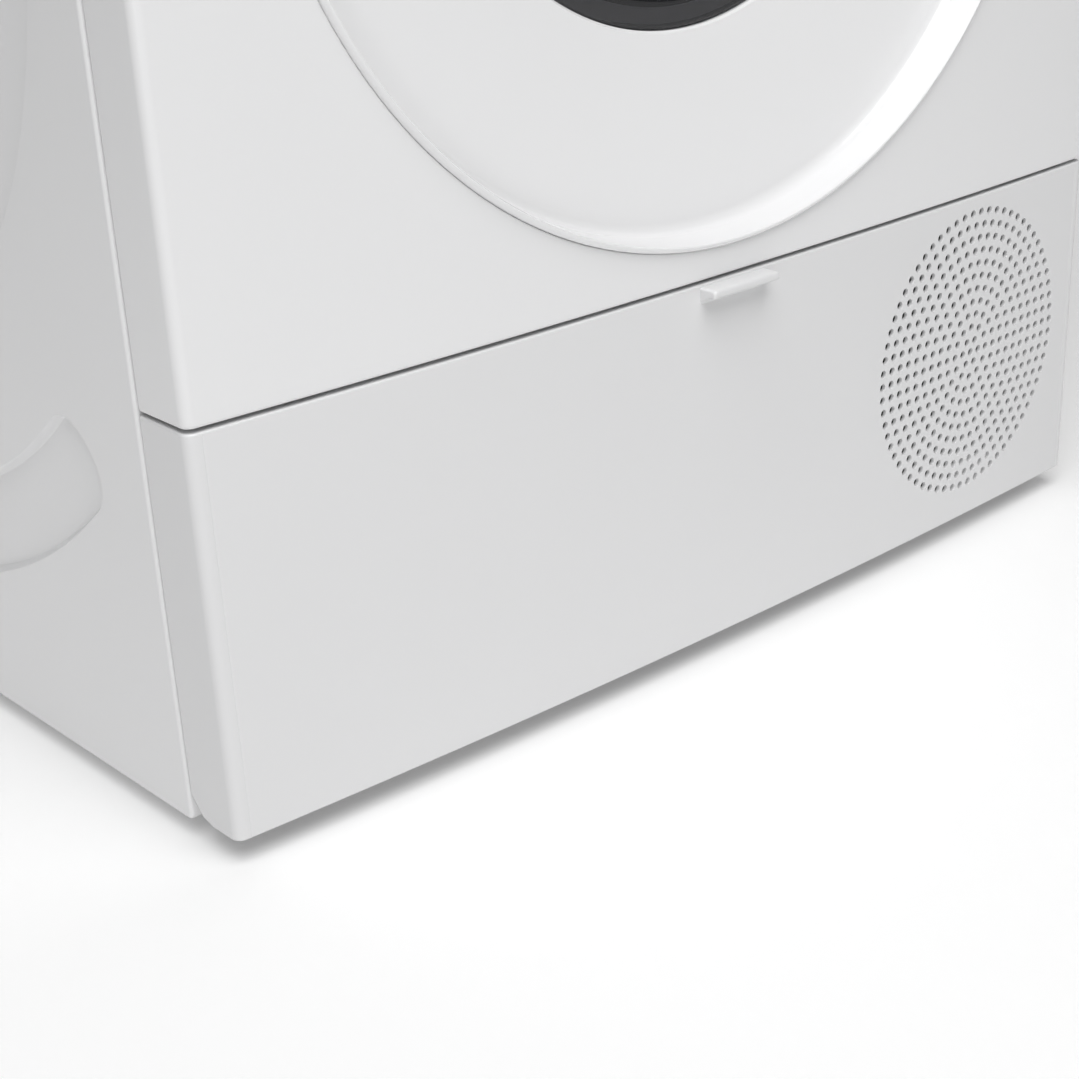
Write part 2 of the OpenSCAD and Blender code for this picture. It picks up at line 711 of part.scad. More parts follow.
module door_hinge_arm() color(steel) {
    rod_r = 2.5;
    for (side = [-1, 1]) translate([0, 0, drum_z + side * 28.25 - 9.75]) {
        translate([hinge_x, hinge_y, 0]) cylinder(r = 5, h = 19.5);
        block(hinge_x - 9.2, hinge_x, ring_y + 2.4, ring_y + 6, 0, 19.5);
        block(hinge_x - 9.2, hinge_x - 6.2, ring_y + 2.4, ring_y + 46, 0, 19.5);
        block(hinge_x - 34, hinge_x - 6.2, ring_y + 43.6, ring_y + 46, 0, 19.5);
    }
    translate([hinge_x, hinge_y, drum_z - 38]) cylinder(r = rod_r, h = 76);
}

module door_hinge_plate() color(steel) difference() {
    union() {
        translate([hinge_x, hinge_y, drum_z - 18]) cylinder(r = 5, h = 36);
        block(hinge_x - 3, hinge_x + 3, hinge_y, front + 5, drum_z - 18, drum_z + 18);
        block(hinge_x - 3, hinge_x + 27, front + 2, front + 5, drum_z - 45, drum_z + 45);
    }
    translate([hinge_x, hinge_y, drum_z - 50]) cylinder(r = 2.55, h = 100);
}

module latch_hook() color(steel) {
    block(latch_x - 7, latch_x + 5, ring_y + 43.6, ring_y + 45.6, drum_z - 10, drum_z + 10);
    block(latch_x - 4, latch_x, ring_y + 45, ring_y + 66, drum_z - 6, drum_z + 6);
    block(latch_x - 6, latch_x, ring_y + 62, ring_y + 66, drum_z - 6, drum_z + 6);
}

module door_catch() color(dark) difference() {
    block(latch_x - 21, latch_x + 11, flange_y + 3, flange_y + 24, drum_z - 16, drum_z + 16);
    block(latch_x - 15, latch_x + 7, flange_y + 2, flange_y + 20, drum_z - 12, drum_z + 12);
}

// ---- Service flap ----

grille_tilt = asin(grille_x / bow_r);

// A round plate with rings of holes: each ring has six more holes than the one inside it.
module grille_plate() difference() {
    circle(r = grille_rings * grille_pitch + 6);
    circle(r = grille_hole / 2, $fn = 24);
    for (ring = [1 : grille_rings]) for (i = [0 : 6 * ring - 1]) rotate(60 * i / ring)
        translate([ring * grille_pitch, 0]) circle(r = grille_hole / 2, $fn = 24);
}

module service_flap() color(white) {
    pivot_side = flap_pivot_y + 5.3;
    difference() {
        union() {
            front_shell(flap_wall, flap_bottom, flap_top, side_front);
            translate([0, 0, flap_bottom]) linear_extrude(flap_wall) intersection() {
                front_plan(0.5, pivot_side);
                translate([-half_w + 22, front - 20]) square([width - 44, 200]);
            }
            translate([0, 0, flap_top - flap_wall]) linear_extrude(flap_wall) intersection() {
                front_plan(0.5, pivot_side - 4);
                translate([-half_w + 1, front - 20]) square([width - 2, 200]);
            }
        }
        for (side = [-1, 1]) translate([side * half_w, side_front - 16, flap_bottom]) difference() {
            translate([-4, 0, -1]) cube([8, 17, 17]);
            translate([-5, 0, 16]) rotate([0, 90, 0]) cylinder(r = 16, h = 10);
        }
        rod_y(grille_x, grille_z, grille_rings * grille_pitch + 5, front - 20, side_front - 1);
    }
    translate([grille_x, bow_y(grille_x) + 2.6, grille_z]) rotate([90, 0, grille_tilt])
        linear_extrude(2.2) grille_plate();
    for (side = [-1, 1])
        rod_x(flap_pivot_y, flap_pivot_z, 3, side * (half_w - 9.5) - 7.5, side * (half_w - 9.5) + 7.5);
    translate([-tab_width / 2, front - bow, flap_top]) rotate([90, 0, 90]) linear_extrude(tab_width)
        polygon([[2, -1.2], [-8.8, -1.2], [-9.7, -1.6], [-10, -2.4], [-10, -4.4], [-9.4, -5.2],
                 [-3, -7.6], [0, -9.4], [2, -9.4]]);
}

// ---- Water container ----

module container_tub() color(pale)
    open_box(container_left, container_left + container_w, front + 6, front + 6 + container_l,
             container_bottom, container_top, 2.5);

module container_front() color(white) difference() {
    union() {
        intersection() {
            translate([0, 0, container_bottom - 1]) linear_extrude(container_top - container_bottom + 14)
                difference() {
                    front_plan(0, side_front);
                    front_plan(3, side_front + 1);
                }
            block(container_left - 1, container_left + container_w + 1, front - 20, front + 10,
                  container_bottom - 1, container_top + 13);
        }
        for (x = [container_left + 10, container_left + container_w - 18])
            block(x, x + 8, bow_y(x) + 1.5, front + 6, container_bottom + 4, container_top - 4);
    }
    block(container_left + 50, container_left + container_w - 50, front - 20, front + 10,
          container_bottom + 8, container_bottom + 30);
}

// ---- Controls ----

module program_dial() color(pale) {
    translate([0, 0, dial_z]) rotate([-90, 0, 0]) rotate_extrude() polygon([
        [0, front - bow - 9], [dial_r - 3, front - bow - 9], [dial_r - 1, front - bow - 8],
        [dial_r, front - bow - 1], [3, front - bow - 1], [3, front + 7.5], [0, front + 7.5]]);
}

module power_button() color(pale) rod_y(-60, dial_z, 8, bow_y(60) - 3, front + 4);

module start_button() color(pale) rod_y(half_w - 55, dial_z, 12, bow_y(half_w - 55) - 3, front + 4);

base_tray();
left_side_panel();
right_side_panel();
rear_panel();
rear_duct_cover();
top_crossbars();
worktop();
front_panel();
control_fascia();
display_window();
control_board();
front_bulkhead();
rear_bulkhead();
drum_seals();
motor_housing();
fan_housing();
compressor();
compressor_mounts();
evaporator();
condenser();
refrigerant_pipes();
condensate_pump();
drain_spigot();
cord_inlet();
drum_lamp();
door_catch();
door_hinge_plate();
cooling_fan_housing();
heat_exchanger_cover();
heat_exchanger_filter();
drive_belt();
roller_axles();
panel_screws();
air_channel_lid();
front_air_duct();
rear_feet();
door_ring();
door_inner_frame();
door_window();
door_seal();
door_hinge_arm();
latch_hook();
service_flap();
container_tub();
container_front();
program_dial();
power_button();
start_button();
drum_shell();
drum_lifters();
roller_left();
roller_right();
motor_rotor();
fan_wheel();
tensioner_arm();
idler_pulley();
cooling_fan_blade();
lint_filter();
front_foot_left();
front_foot_right();
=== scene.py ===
# %% [markdown]
# # A free-standing clothes dryer
# The machine is a steel box with a bowed front. Its shapes, joints and places come from a fixed frame
# that was designed beforehand, so this lesson only adds looks: skins with rolled edges, real holes,
# soft pressings and finishes. Every length is in metres, +Z is up and the front faces -Y.

# %% Load the fixed frame
import json
import math

import bmesh
import bpy
import numpy as np
from mathutils import Matrix, Vector
from mathutils.geometry import delaunay_2d_cdt

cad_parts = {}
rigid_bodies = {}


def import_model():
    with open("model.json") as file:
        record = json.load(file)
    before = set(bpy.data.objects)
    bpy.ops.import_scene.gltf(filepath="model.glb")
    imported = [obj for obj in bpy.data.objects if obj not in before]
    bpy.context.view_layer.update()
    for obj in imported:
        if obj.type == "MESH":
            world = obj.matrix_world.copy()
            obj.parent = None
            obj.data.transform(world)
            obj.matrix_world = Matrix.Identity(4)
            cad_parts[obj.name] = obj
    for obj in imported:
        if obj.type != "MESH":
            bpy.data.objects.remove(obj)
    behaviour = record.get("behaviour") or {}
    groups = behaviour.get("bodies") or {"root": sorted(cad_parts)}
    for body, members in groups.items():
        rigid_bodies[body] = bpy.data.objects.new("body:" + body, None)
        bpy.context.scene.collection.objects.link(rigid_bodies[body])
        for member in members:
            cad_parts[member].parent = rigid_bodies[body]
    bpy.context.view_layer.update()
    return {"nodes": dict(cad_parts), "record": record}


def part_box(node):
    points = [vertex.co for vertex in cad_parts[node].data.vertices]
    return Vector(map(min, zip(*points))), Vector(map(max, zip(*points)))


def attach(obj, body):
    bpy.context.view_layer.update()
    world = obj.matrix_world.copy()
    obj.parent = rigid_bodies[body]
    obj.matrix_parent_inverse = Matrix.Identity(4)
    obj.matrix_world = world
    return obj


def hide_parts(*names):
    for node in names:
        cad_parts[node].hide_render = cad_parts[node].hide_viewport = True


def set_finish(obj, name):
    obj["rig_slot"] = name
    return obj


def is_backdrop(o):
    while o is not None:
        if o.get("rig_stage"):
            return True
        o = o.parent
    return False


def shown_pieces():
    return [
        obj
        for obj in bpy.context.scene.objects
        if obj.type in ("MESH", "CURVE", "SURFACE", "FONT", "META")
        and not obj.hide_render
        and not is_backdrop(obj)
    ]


for leftover in list(bpy.data.objects):
    bpy.data.objects.remove(leftover)
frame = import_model()
MM = 0.001

# %% [markdown]
# ## The camera
# The view shows a small part of a wider one, so its vanishing points lie off its centre. A lens
# shift does this: the camera keeps its direction and only the part it shows moves aside.

# %% Camera
def look_from(place, right, up, back, lens, shift):
    """Makes the scene's camera from its place and its three axes."""
    data = bpy.data.cameras.new("camera")
    data.lens = lens
    data.sensor_width = 36
    data.shift_x, data.shift_y = shift
    data.clip_start, data.clip_end = 0.05, 60
    camera = bpy.data.objects.new("camera", data)
    turn = Matrix((right, up, back)).transposed().to_4x4()
    camera.matrix_world = Matrix.Translation(place) @ turn
    bpy.context.scene.collection.objects.link(camera)
    bpy.context.scene.camera = camera
    return camera


camera = look_from(
    place=(-0.68505, -0.96060, 0.47945),
    right=(0.71647, -0.69729, -0.02132),
    up=(0.32132, 0.30273, 0.89728),
    back=(-0.61921, -0.64973, 0.44095),
    lens=67.94,
    shift=(-0.0967, 0.0784),
)
print("camera stands at", tuple(round(v, 3) for v in camera.location))

# %% [markdown]
# ## The light
# White goods are told apart from a white ground by small steps in tone. One large lamp high at the
# front left lights the floor white and makes upward slopes a little brighter than upright faces,
# and the floor throws light back up. A faint white world fills the shadows. A small lamp, low in
# front of the machine's corner, draws a soft highlight along the upright edge.

# %% Floor and light
FLOOR_TONE = (0.78, 0.78, 0.78)
FLOOR_GLOW = 0.22
FLOOR_REACH = 12
WORLD_LIGHT = 0.08
LARGE_LAMP_WATTS = 118
SMALL_LAMP_WATTS = 4.5


def plain_material(name, colour, roughness, glow):
    """A material that only the floor uses. A little glow keeps it white, like a lit backdrop."""
    material = bpy.data.materials.new(name)
    material.use_nodes = True
    shader = material.node_tree.nodes["Principled BSDF"]
    shader.inputs["Base Color"].default_value = (*colour, 1)
    shader.inputs["Roughness"].default_value = roughness
    shader.inputs["Emission Color"].default_value = (1, 1, 1, 1)
    shader.inputs["Emission Strength"].default_value = glow
    return material


def make_floor(reach):
    """A pale studio floor, level with the feet."""
    mesh = bpy.data.meshes.new("floor")
    corners = [(-reach, -reach, 0), (reach, -reach, 0), (reach, reach, 0), (-reach, reach, 0)]
    mesh.from_pydata(corners, [], [(0, 1, 2, 3)])
    floor = bpy.data.objects.new("floor", mesh)
    bpy.context.scene.collection.objects.link(floor)
    mesh.materials.append(plain_material("studio_floor", FLOOR_TONE, 0.9, FLOOR_GLOW))
    floor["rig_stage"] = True
    return floor


def soft_lamp(name, place, aim, width, height, power):
    """A large rectangular lamp that shines at a point. The camera doesn't see the lamp itself."""
    data = bpy.data.lights.new(name, "AREA")
    data.energy = power
    data.shape = "RECTANGLE"
    data.size, data.size_y = width, height
    lamp = bpy.data.objects.new(name, data)
    lamp.location = place
    lamp.rotation_euler = (Vector(aim) - Vector(place)).to_track_quat("-Z", "Y").to_euler()
    lamp.visible_camera = False
    bpy.context.scene.collection.objects.link(lamp)
    return lamp


world = bpy.data.worlds.new("white_tent")
world.use_nodes = True
sky = world.node_tree.nodes["Background"]
sky.inputs["Color"].default_value = (1, 1, 1, 1)
sky.inputs["Strength"].default_value = WORLD_LIGHT
bpy.context.scene.world = world
bpy.context.scene.view_settings.view_transform = "Standard"
make_floor(FLOOR_REACH)
soft_lamp("overhead_lamp", (-0.82, -1.68, 3.1), (-0.1, -0.3, 0.0), 3.0, 2.6, LARGE_LAMP_WATTS)
soft_lamp("corner_lamp", (-2.2, -2.2, 0.35), (-0.3, -0.3, 0.2), 0.4, 0.7, SMALL_LAMP_WATTS)
print("floor, white world and lamps are set")

# %% [markdown]
# ## Shapes that follow the front
# Seen from above, the front is one shallow arc with small round corners. It wraps a little around
# the sides, a hair inside the side panels, whose folded edges catch the light. A column is one
# upright line of that outline. Taking the outline inwards gives the inside of a sheet and its
# folded lips, so one rule shapes the flap, the panel and the fascia.

# %% The front's outline from above
low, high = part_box("front_panel")
HALF_W = high[0]
BACK_Y = high[1]
APEX_Y = low[1]
BOW = 8.64 * MM
CORNER = 5 * MM
ARC_R = (HALF_W**2 + BOW**2) / (2 * BOW)
ARC_Y = APEX_Y + ARC_R
SIDE_STEP = 0.9 * MM
EDGE_X = HALF_W - SIDE_STEP
CORNER_X = EDGE_X - CORNER
CORNER_Y = ARC_Y - math.sqrt((ARC_R - CORNER) ** 2 - CORNER_X**2)
CORNER_TURN = math.asin(CORNER_X / (ARC_R - CORNER))
CREASE_X = CORNER_X - 2.2 * MM
CREASE_HALF_W = 0.6 * MM


def quarter_turns(steps):
    """Equal angles from 0 to a quarter turn."""
    return [math.pi / 2 * i / steps for i in range(steps + 1)]


def bow_y(x, depth=0.0):
    """Where the front surface stands at x, or a sheet that lies depth behind it."""
    return ARC_Y - math.sqrt((ARC_R - depth) ** 2 - x**2)


def crease_depth(x, depth):
    """A fine groove near each end of the bow, where a moulding's corner begins."""
    past = abs(abs(x) - CREASE_X)
    return depth * max(0.0, 1 - past / CREASE_HALF_W)


def columns(bow_xs, roll):
    """The outline from the left seam to the right seam: each column says its kind and place."""
    half = [("lip", math.pi / 2), ("lip", math.pi / 3), ("lip", math.pi / 6)]
    half += [("side", y) for y in np.linspace(BACK_Y - roll, CORNER_Y, 5)]
    half += [("corner", t) for t in np.linspace(0, math.pi / 2 - CORNER_TURN, 7)[1:]]
    left = [(kind, -1, value) for kind, value in half]
    right = [(kind, 1, value) for kind, value in reversed(half)]
    return left + [("bow", 0, x) for x in bow_xs] + right


def inset_point(column, inset, roll):
    """The place of a column on the outline taken inwards by inset."""
    kind, side, value = column
    edge_x = EDGE_X - inset
    if kind == "lip":
        return side * (edge_x - roll * (1 - math.cos(value))), BACK_Y - roll * (1 - math.sin(value))
    if kind == "side":
        return side * edge_x, max(value, bow_y(edge_x, inset))
    if kind == "corner" and inset < CORNER:
        r = CORNER - inset
        return side * (CORNER_X + r * math.cos(value)), CORNER_Y - r * math.sin(value)
    if kind == "corner":
        return side * edge_x, bow_y(edge_x, inset)
    x = max(-edge_x, min(edge_x, value * (ARC_R - inset) / ARC_R))
    return x, bow_y(x, inset)


print("front bows by %.1f mm over %.0f mm" % (BOW / MM, 2 * HALF_W / MM))

# %% [markdown]
# ## Plates with holes
# Holes in a sheet could be cut with booleans, but hundreds of them make a ragged mesh. Here a flat
# drawing of the border and the holes is filled with triangles (a Delaunay fill that respects the
# drawn lines), and then the drawing is bent onto the surface. Each hole gets a rim: a few rings
# that roll from the front face into the hole and out to the back face.

# %% Outlines for holes
def circle_outline(x, z, r, steps):
    """A function that draws a circle, grown by any amount."""
    turns = [2 * math.pi * i / steps for i in range(steps)]
    return lambda grow: [(x + (r + grow) * math.cos(a), z + (r + grow) * math.sin(a)) for a in turns]


def box_outline(x0, x1, z0, z1, r, steps=6):
    """A function that draws a rectangle with round corners, grown by any amount."""
    def draw(grow):
        points = []
        corners = [(x1 - r, z1 - r, 0), (x0 + r, z1 - r, 1), (x0 + r, z0 + r, 2), (x1 - r, z0 + r, 3)]
        for cx, cz, quarter in corners:
            for i in range(steps + 1):
                a = (quarter + i / steps) * math.pi / 2
                points.append((cx + (r + grow) * math.cos(a), cz + (r + grow) * math.sin(a)))
        return points
    return draw


def fine_outline(outline, spacing):
    """The same outline with long edges cut into short ones, alike for every growth."""
    base = outline(0.0)
    cuts = []
    for one, two in zip(base, base[1:] + base[:1]):
        cuts.append(max(1, round(math.dist(one, two) / spacing)))

    def draw(grow):
        points = outline(grow)
        made = []
        for (x0, z0), (x1, z1), count in zip(points, points[1:] + points[:1], cuts):
            made += [(x0 + (x1 - x0) * i / count, z0 + (z1 - z0) * i / count) for i in range(count)]
        return made
    return draw


def inside(points, outline):
    """Which of the points lie inside a closed outline."""
    x, z = points[:, 0], points[:, 1]
    found = np.zeros(len(points), bool)
    ring = np.array(outline)
    for (x0, z0), (x1, z1) in zip(ring, np.roll(ring, -1, axis=0)):
        if z0 == z1:
            continue
        crosses = (z0 > z) != (z1 > z)
        found ^= crosses & (x < (x1 - x0) * (z - z0) / (z1 - z0) + x0)
    return found


def fill_drawing(border, holes, spacing):
    """Fills the space between a border and holes. Returns its points and triangles."""
    points = [Vector(p) for p in border]
    edges = [(i, (i + 1) % len(border)) for i in range(len(border))]
    for hole in holes:
        first = len(points)
        points += [Vector(p) for p in hole]
        edges += [(first + i, first + (i + 1) % len(hole)) for i in range(len(hole))]
    ring = np.array(border)
    grid = np.array([(x, z) for x in np.arange(ring[:, 0].min() + spacing, ring[:, 0].max(), spacing)
                     for z in np.arange(ring[:, 1].min() + spacing, ring[:, 1].max(), spacing)])
    if len(grid):
        fixed = np.array([tuple(p) for p in points])
        near = np.array([np.min(np.hypot(*(fixed - g).T)) < spacing * 0.4 for g in grid])
        keep = inside(grid, border) & ~near
        for hole in holes:
            keep &= ~inside(grid, hole)
        points += [Vector(p) for p in grid[keep]]
    made, _, faces, origin, _, _ = delaunay_2d_cdt(points, edges, [], 0, 1e-7)
    made = np.array([tuple(p) for p in made])
    middle = np.array([made[list(f)].mean(axis=0) for f in faces])
    keep = inside(middle, border)
    for hole in holes:
        reach = np.array(hole)
        close = ((middle > reach.min(axis=0)) & (middle < reach.max(axis=0))).all(axis=1)
        keep[close] &= ~inside(middle[close], hole)
    return made, [tuple(f) for f, k in zip(faces, keep) if k]


print("plate tools are ready")

# %% [markdown]
# ## One builder for meshes
# A mesh is a list of points and faces. This small builder collects them, joins points that
# coincide, and turns the result into an object that rides on a body of the frame. Large flat faces
# beside small rolled ones shade wrongly with plain smoothing, so normals are weighted by area.

# %% Mesh builder
class Skin:
    """Collects points and faces for one piece."""

    def __init__(self):
        self.points = []
        self.faces = []

    def add(self, points):
        """Adds points and returns their numbers."""
        first = len(self.points)
        self.points += [tuple(p) for p in points]
        return list(range(first, len(self.points)))

    def loft(self, rows):
        """Joins each closed row of points to the next with a band of quads."""
        for one, two in zip(rows, rows[1:]):
            for i in range(len(one)):
                j = (i + 1) % len(one)
                self.faces.append((one[i], one[j], two[j], two[i]))

    def fill(self, border, holes, spacing, lift, depth):
        """Fills a drawing with triangles. lift bends (x, z, depth) into space."""
        made, faces = fill_drawing(border, holes, spacing)
        first = len(self.points)
        self.add([lift(x, z, depth) for x, z in made])
        self.faces += [tuple(first + i for i in face) for face in faces]

    def rim(self, outline, rings, lift):
        """Joins the rings (growth of the outline, depth) of a rim."""
        self.loft([self.add([lift(x, z, depth) for x, z in outline(grow)]) for grow, depth in rings])

    def plate(self, border, holes, lift, rims, border_rim, spacing, wall):
        """A plate between a front and a back drawing."""
        for depth, end in ((0.0, 0), (wall, -1)):
            drawn = [hole(rims[end][0]) for hole in holes]
            self.fill(border(border_rim[end][0]), drawn, spacing, lift, depth)
        for hole in holes:
            self.rim(hole, rims, lift)
        self.rim(border, border_rim, lift)

    def build(self, name, material_slot, body, replaces=(), smooth=35, weighted=True):
        """Makes the object, rides it on its body, hides the frame parts it replaces and gives it its
        finish slot.
        """
        mesh = bpy.data.meshes.new(name)
        mesh.from_pydata(self.points, [], self.faces)
        shape = bmesh.new()
        shape.from_mesh(mesh)
        bmesh.ops.remove_doubles(shape, verts=shape.verts, dist=2e-6)
        bmesh.ops.dissolve_degenerate(shape, edges=shape.edges, dist=1e-7)
        wires = [edge for edge in shape.edges if not edge.link_faces]
        bmesh.ops.delete(shape, geom=wires, context="EDGES")
        bmesh.ops.recalc_face_normals(shape, faces=shape.faces)
        loose = sum(1 for e in shape.edges if len(e.link_faces) != 2)
        shape.to_mesh(mesh)
        shape.free()
        return finish_piece(mesh, name, material_slot, body, replaces, smooth, weighted, loose)


def finish_piece(mesh, name, material_slot, body, replaces, smooth, weighted, loose=0):
    """Smooths a mesh, places it in the scene and ties it to the frame."""
    mesh.shade_smooth()
    mesh.set_sharp_from_angle(angle=math.radians(smooth))
    piece = bpy.data.objects.new(name, mesh)
    bpy.context.scene.collection.objects.link(piece)
    if weighted:
        even = piece.modifiers.new("even_normals", "WEIGHTED_NORMAL")
        even.keep_sharp = True
    if replaces:
        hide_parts(*replaces)
    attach(piece, body)
    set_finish(piece, material_slot)
    print("%s: %d faces, %d edges without two faces" % (name, len(mesh.polygons), loose))
    return piece


def rolled_rim(r, wall, steps=4):
    """Rings of a rim that rolls into a hole and out again: (growth of the hole, depth)."""
    front = [(r * (1 - math.sin(a)), r * (1 - math.cos(a))) for a in quarter_turns(steps)]
    back = [(grow, wall - depth) for grow, depth in reversed(front)]
    return front + back


def rolled_border(r, wall, steps=4):
    """The same roll around the outside of a plate."""
    return [(-grow, depth) for grow, depth in rolled_rim(r, wall, steps)]


# %% [markdown]
# ## Front skins
# The flap, the front panel and the control fascia are made alike: a cross-section (a wall with a
# rolled edge and a folded lip at its top and bottom) is swept along the columns. The part of the
# wall with holes is left open in the sweep and filled with a plate.

# %% Sweep a front skin
def cross_section(z0, z1, wall, roll, lip, rows):
    """The closed cross-section of a skin, as (inset, height, is a row of the face)."""
    turns = quarter_turns(4)[1:]
    top = [(roll * (1 - math.cos(a)), z1 - roll * (1 - math.sin(a))) for a in turns]
    bottom = [(roll * (1 - math.cos(a)), z0 + roll * (1 - math.sin(a))) for a in reversed(turns)]
    levels = [z0 + roll, *rows, z1 - roll]
    outer = [(0.0, z) for z in levels]
    upper_lip = [(lip, z1), (lip, z1 - wall)]
    inner = [(wall, z) for z in [z1 - wall, *reversed(rows), z0 + wall]]
    lower_lip = [(lip, z0 + wall), (lip, z0)]
    return outer + top + upper_lip + inner + lower_lip + bottom, len(levels)


def sweep_front(skin, z0, z1, wall, roll, lip, window, foot=None, crease=0.0):
    """Sweeps the cross-section along the front. window is (x0, x1, z0, z1) and stays open.
    Returns where the columns cross the window, so a plate can join them."""
    wx0, wx1, wz0, wz1 = window
    edge_x = ARC_R * math.sin(CORNER_TURN)
    bow_xs = sorted({round(float(x), 6) for x in np.linspace(-edge_x, edge_x, 41)[1:-1]
                     if min(abs(x - wx0), abs(x - wx1)) > 3 * MM} | {wx0, wx1})
    if crease:
        near_ends = [CREASE_X + step * CREASE_HALF_W / 2 for step in range(-2, 3)]
        bow_xs = sorted({*bow_xs, *near_ends, *[-x for x in near_ends]})
    path = columns(bow_xs, roll)
    section, levels = cross_section(z0, z1, wall, roll, lip, [wz0, wz1])
    grid = []
    for column in path:
        line = []
        for inset, z in section:
            x, y = inset_point(column, inset, roll)
            if crease and inset == 0 and column[0] == "bow":
                y += crease_depth(x, crease)
            if foot:
                z = foot(column, y, z)
            line.append((x, y, z))
        grid.append(skin.add(line))
    for i, (one, two) in enumerate(zip(grid, grid[1:])):
        open_here = path[i][0] == "bow" and path[i + 1][0] == "bow" \
            and path[i][2] >= wx0 - 1e-9 and path[i + 1][2] <= wx1 + 1e-9
        for j in range(len(section)):
            k = (j + 1) % len(section)
            heights = sorted((section[j][1], section[k][1]))
            same_inset = section[j][0] == section[k][0] and section[j][0] in (0.0, wall)
            if open_here and same_inset and heights == sorted((wz0, wz1)):
                continue
            skin.faces.append((one[j], two[j], two[k], one[k]))
    skin.faces.append(tuple(grid[0]))
    skin.faces.append(tuple(reversed(grid[-1])))
    return [x for x in bow_xs if wx0 <= x <= wx1]


def fill_window(skin, window, xs, holes, rims, spacing, wall):
    """Fills a window of a front skin with a plate. rims is one rim for all holes, or one for each."""
    if isinstance(rims[0], tuple):
        rims = [rims] * len(holes)
    x0, x1, z0, z1 = window
    border = [(x, z0) for x in xs] + [(x, z1) for x in reversed(xs)]

    def lift(x, z, depth):
        shift = x * (ARC_R - depth) / ARC_R
        return shift, bow_y(shift, depth), z

    for depth, end in ((0.0, 0), (wall, -1)):
        drawn = [hole(rim[end][0]) for hole, rim in zip(holes, rims)]
        skin.fill(border, drawn, spacing, lift, depth)
    for hole, rim in zip(holes, rims):
        skin.rim(hole, rim, lift)


print("front sweep is ready")

# %% [markdown]
# ## The service flap
# The flap is one moulding over the whole width. Its grille is eleven rings of small holes around
# one in the middle: each ring has six holes more than the last, so the holes stay evenly spaced.
# The lower rear corners of its side wraps are round, centred near the hinge, so it can tip forward.
# Its folded lips are short, which leaves room for the tray's hinge ears when it lies open.

# %% Service flap
low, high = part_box("service_flap")
FLAP_Z0, FLAP_Z1 = low[2], high[2]
FLAP_WALL = 2.3 * MM
FLAP_ROLL = 1.1 * MM
FLAP_LIP = 6 * MM
FLAP_CREASE = 0.22 * MM
GRILLE_X, GRILLE_Z = 196 * MM, (FLAP_Z0 + FLAP_Z1) / 2 + 5.3 * MM
GRILLE_PITCH = 7.146 * MM
GRILLE_HOLE_R = 2.15 * MM
GRILLE_RINGS = 11
FOOT_R = 16 * MM


def flap_foot(column, y, z):
    """Lifts the flap's lower edge around the round corner of its side wraps."""
    past = y - (BACK_Y - FOOT_R)
    if column[0] in ("bow", "corner") or past <= 0:
        return z
    rise = FOOT_R - math.sqrt(max(FOOT_R**2 - past**2, 0.0))
    return max(z, FLAP_Z0 + rise + min(z - FLAP_Z0, 4 * MM))


def grille_holes():
    """The holes of the grille, ring by ring."""
    places = [(0.0, 0.0)]
    for ring in range(1, GRILLE_RINGS + 1):
        for i in range(6 * ring):
            a = 2 * math.pi * i / (6 * ring)
            places.append((ring * GRILLE_PITCH * math.cos(a), ring * GRILLE_PITCH * math.sin(a)))
    return [circle_outline(GRILLE_X + x, GRILLE_Z + z, GRILLE_HOLE_R, 16) for x, z in places]


flap_skin = Skin()
flap_window = (108 * MM, 284 * MM, 22 * MM, 196 * MM)
xs = sweep_front(flap_skin, FLAP_Z0, FLAP_Z1, FLAP_WALL, FLAP_ROLL, FLAP_LIP, flap_window, flap_foot,
                 FLAP_CREASE)
hole_rim = [(0.3 * MM, 0), (0.09 * MM, 0.09 * MM), (0, 0.3 * MM), (0, FLAP_WALL - 0.2 * MM),
            (0.2 * MM, FLAP_WALL)]
fill_window(flap_skin, flap_window, xs, grille_holes(), hole_rim, 12 * MM, FLAP_WALL)
flap_skin.build("flap_moulding", "white_plastic", "flap", ["service_flap"])

# %% [markdown]
# ## The pull tab
# The tab at the flap's top edge is a short ledge: flat on top, round at the nose and sloping back
# underneath. Its outline from the side is drawn once and swept, shrinking at both ends.

# %% Pull tab
def pull_tab(middle_x, half_length, top_z, out):
    """A ledge whose ends are rounded off."""
    root_y = APEX_Y + 1.2 * MM
    nose_y = APEX_Y - out
    nose = [(root_y, 0.0), (nose_y + 1.6 * MM, 0.0), (nose_y + 0.6 * MM, -0.35 * MM),
            (nose_y, -1.3 * MM), (nose_y, -3.0 * MM), (nose_y + 0.5 * MM, -3.9 * MM),
            (nose_y + 1.8 * MM, -4.5 * MM), (APEX_Y - 2.2 * MM, -6.6 * MM),
            (APEX_Y - 0.6 * MM, -7.9 * MM), (root_y, -9.0 * MM)]
    skin = Skin()
    end_r = 2.2 * MM
    ends = [(half_length - end_r * (1 - math.sin(a)), end_r * (1 - math.cos(a)) * 0.55)
            for a in quarter_turns(5)]
    rows = []
    for x, shrink in [(-x, shrink) for x, shrink in reversed(ends)] + ends:
        row = []
        for y, z in nose:
            front_y = min(y + shrink, root_y) if y < root_y - 1 * MM else y
            lift_z = shrink if z < -3.5 * MM else -shrink
            row.append((middle_x + x, front_y, top_z + z + lift_z))
        rows.append(skin.add(row))
    skin.loft(rows)
    skin.faces.append(tuple(reversed(rows[0])))
    skin.faces.append(tuple(rows[-1]))
    return skin


tab_skin = pull_tab(0.75 * MM, 22.6 * MM, FLAP_Z1 - 1.0 * MM, 9.9 * MM)
tab_skin.build("flap_pull_tab", "white_plastic", "flap", smooth=50)

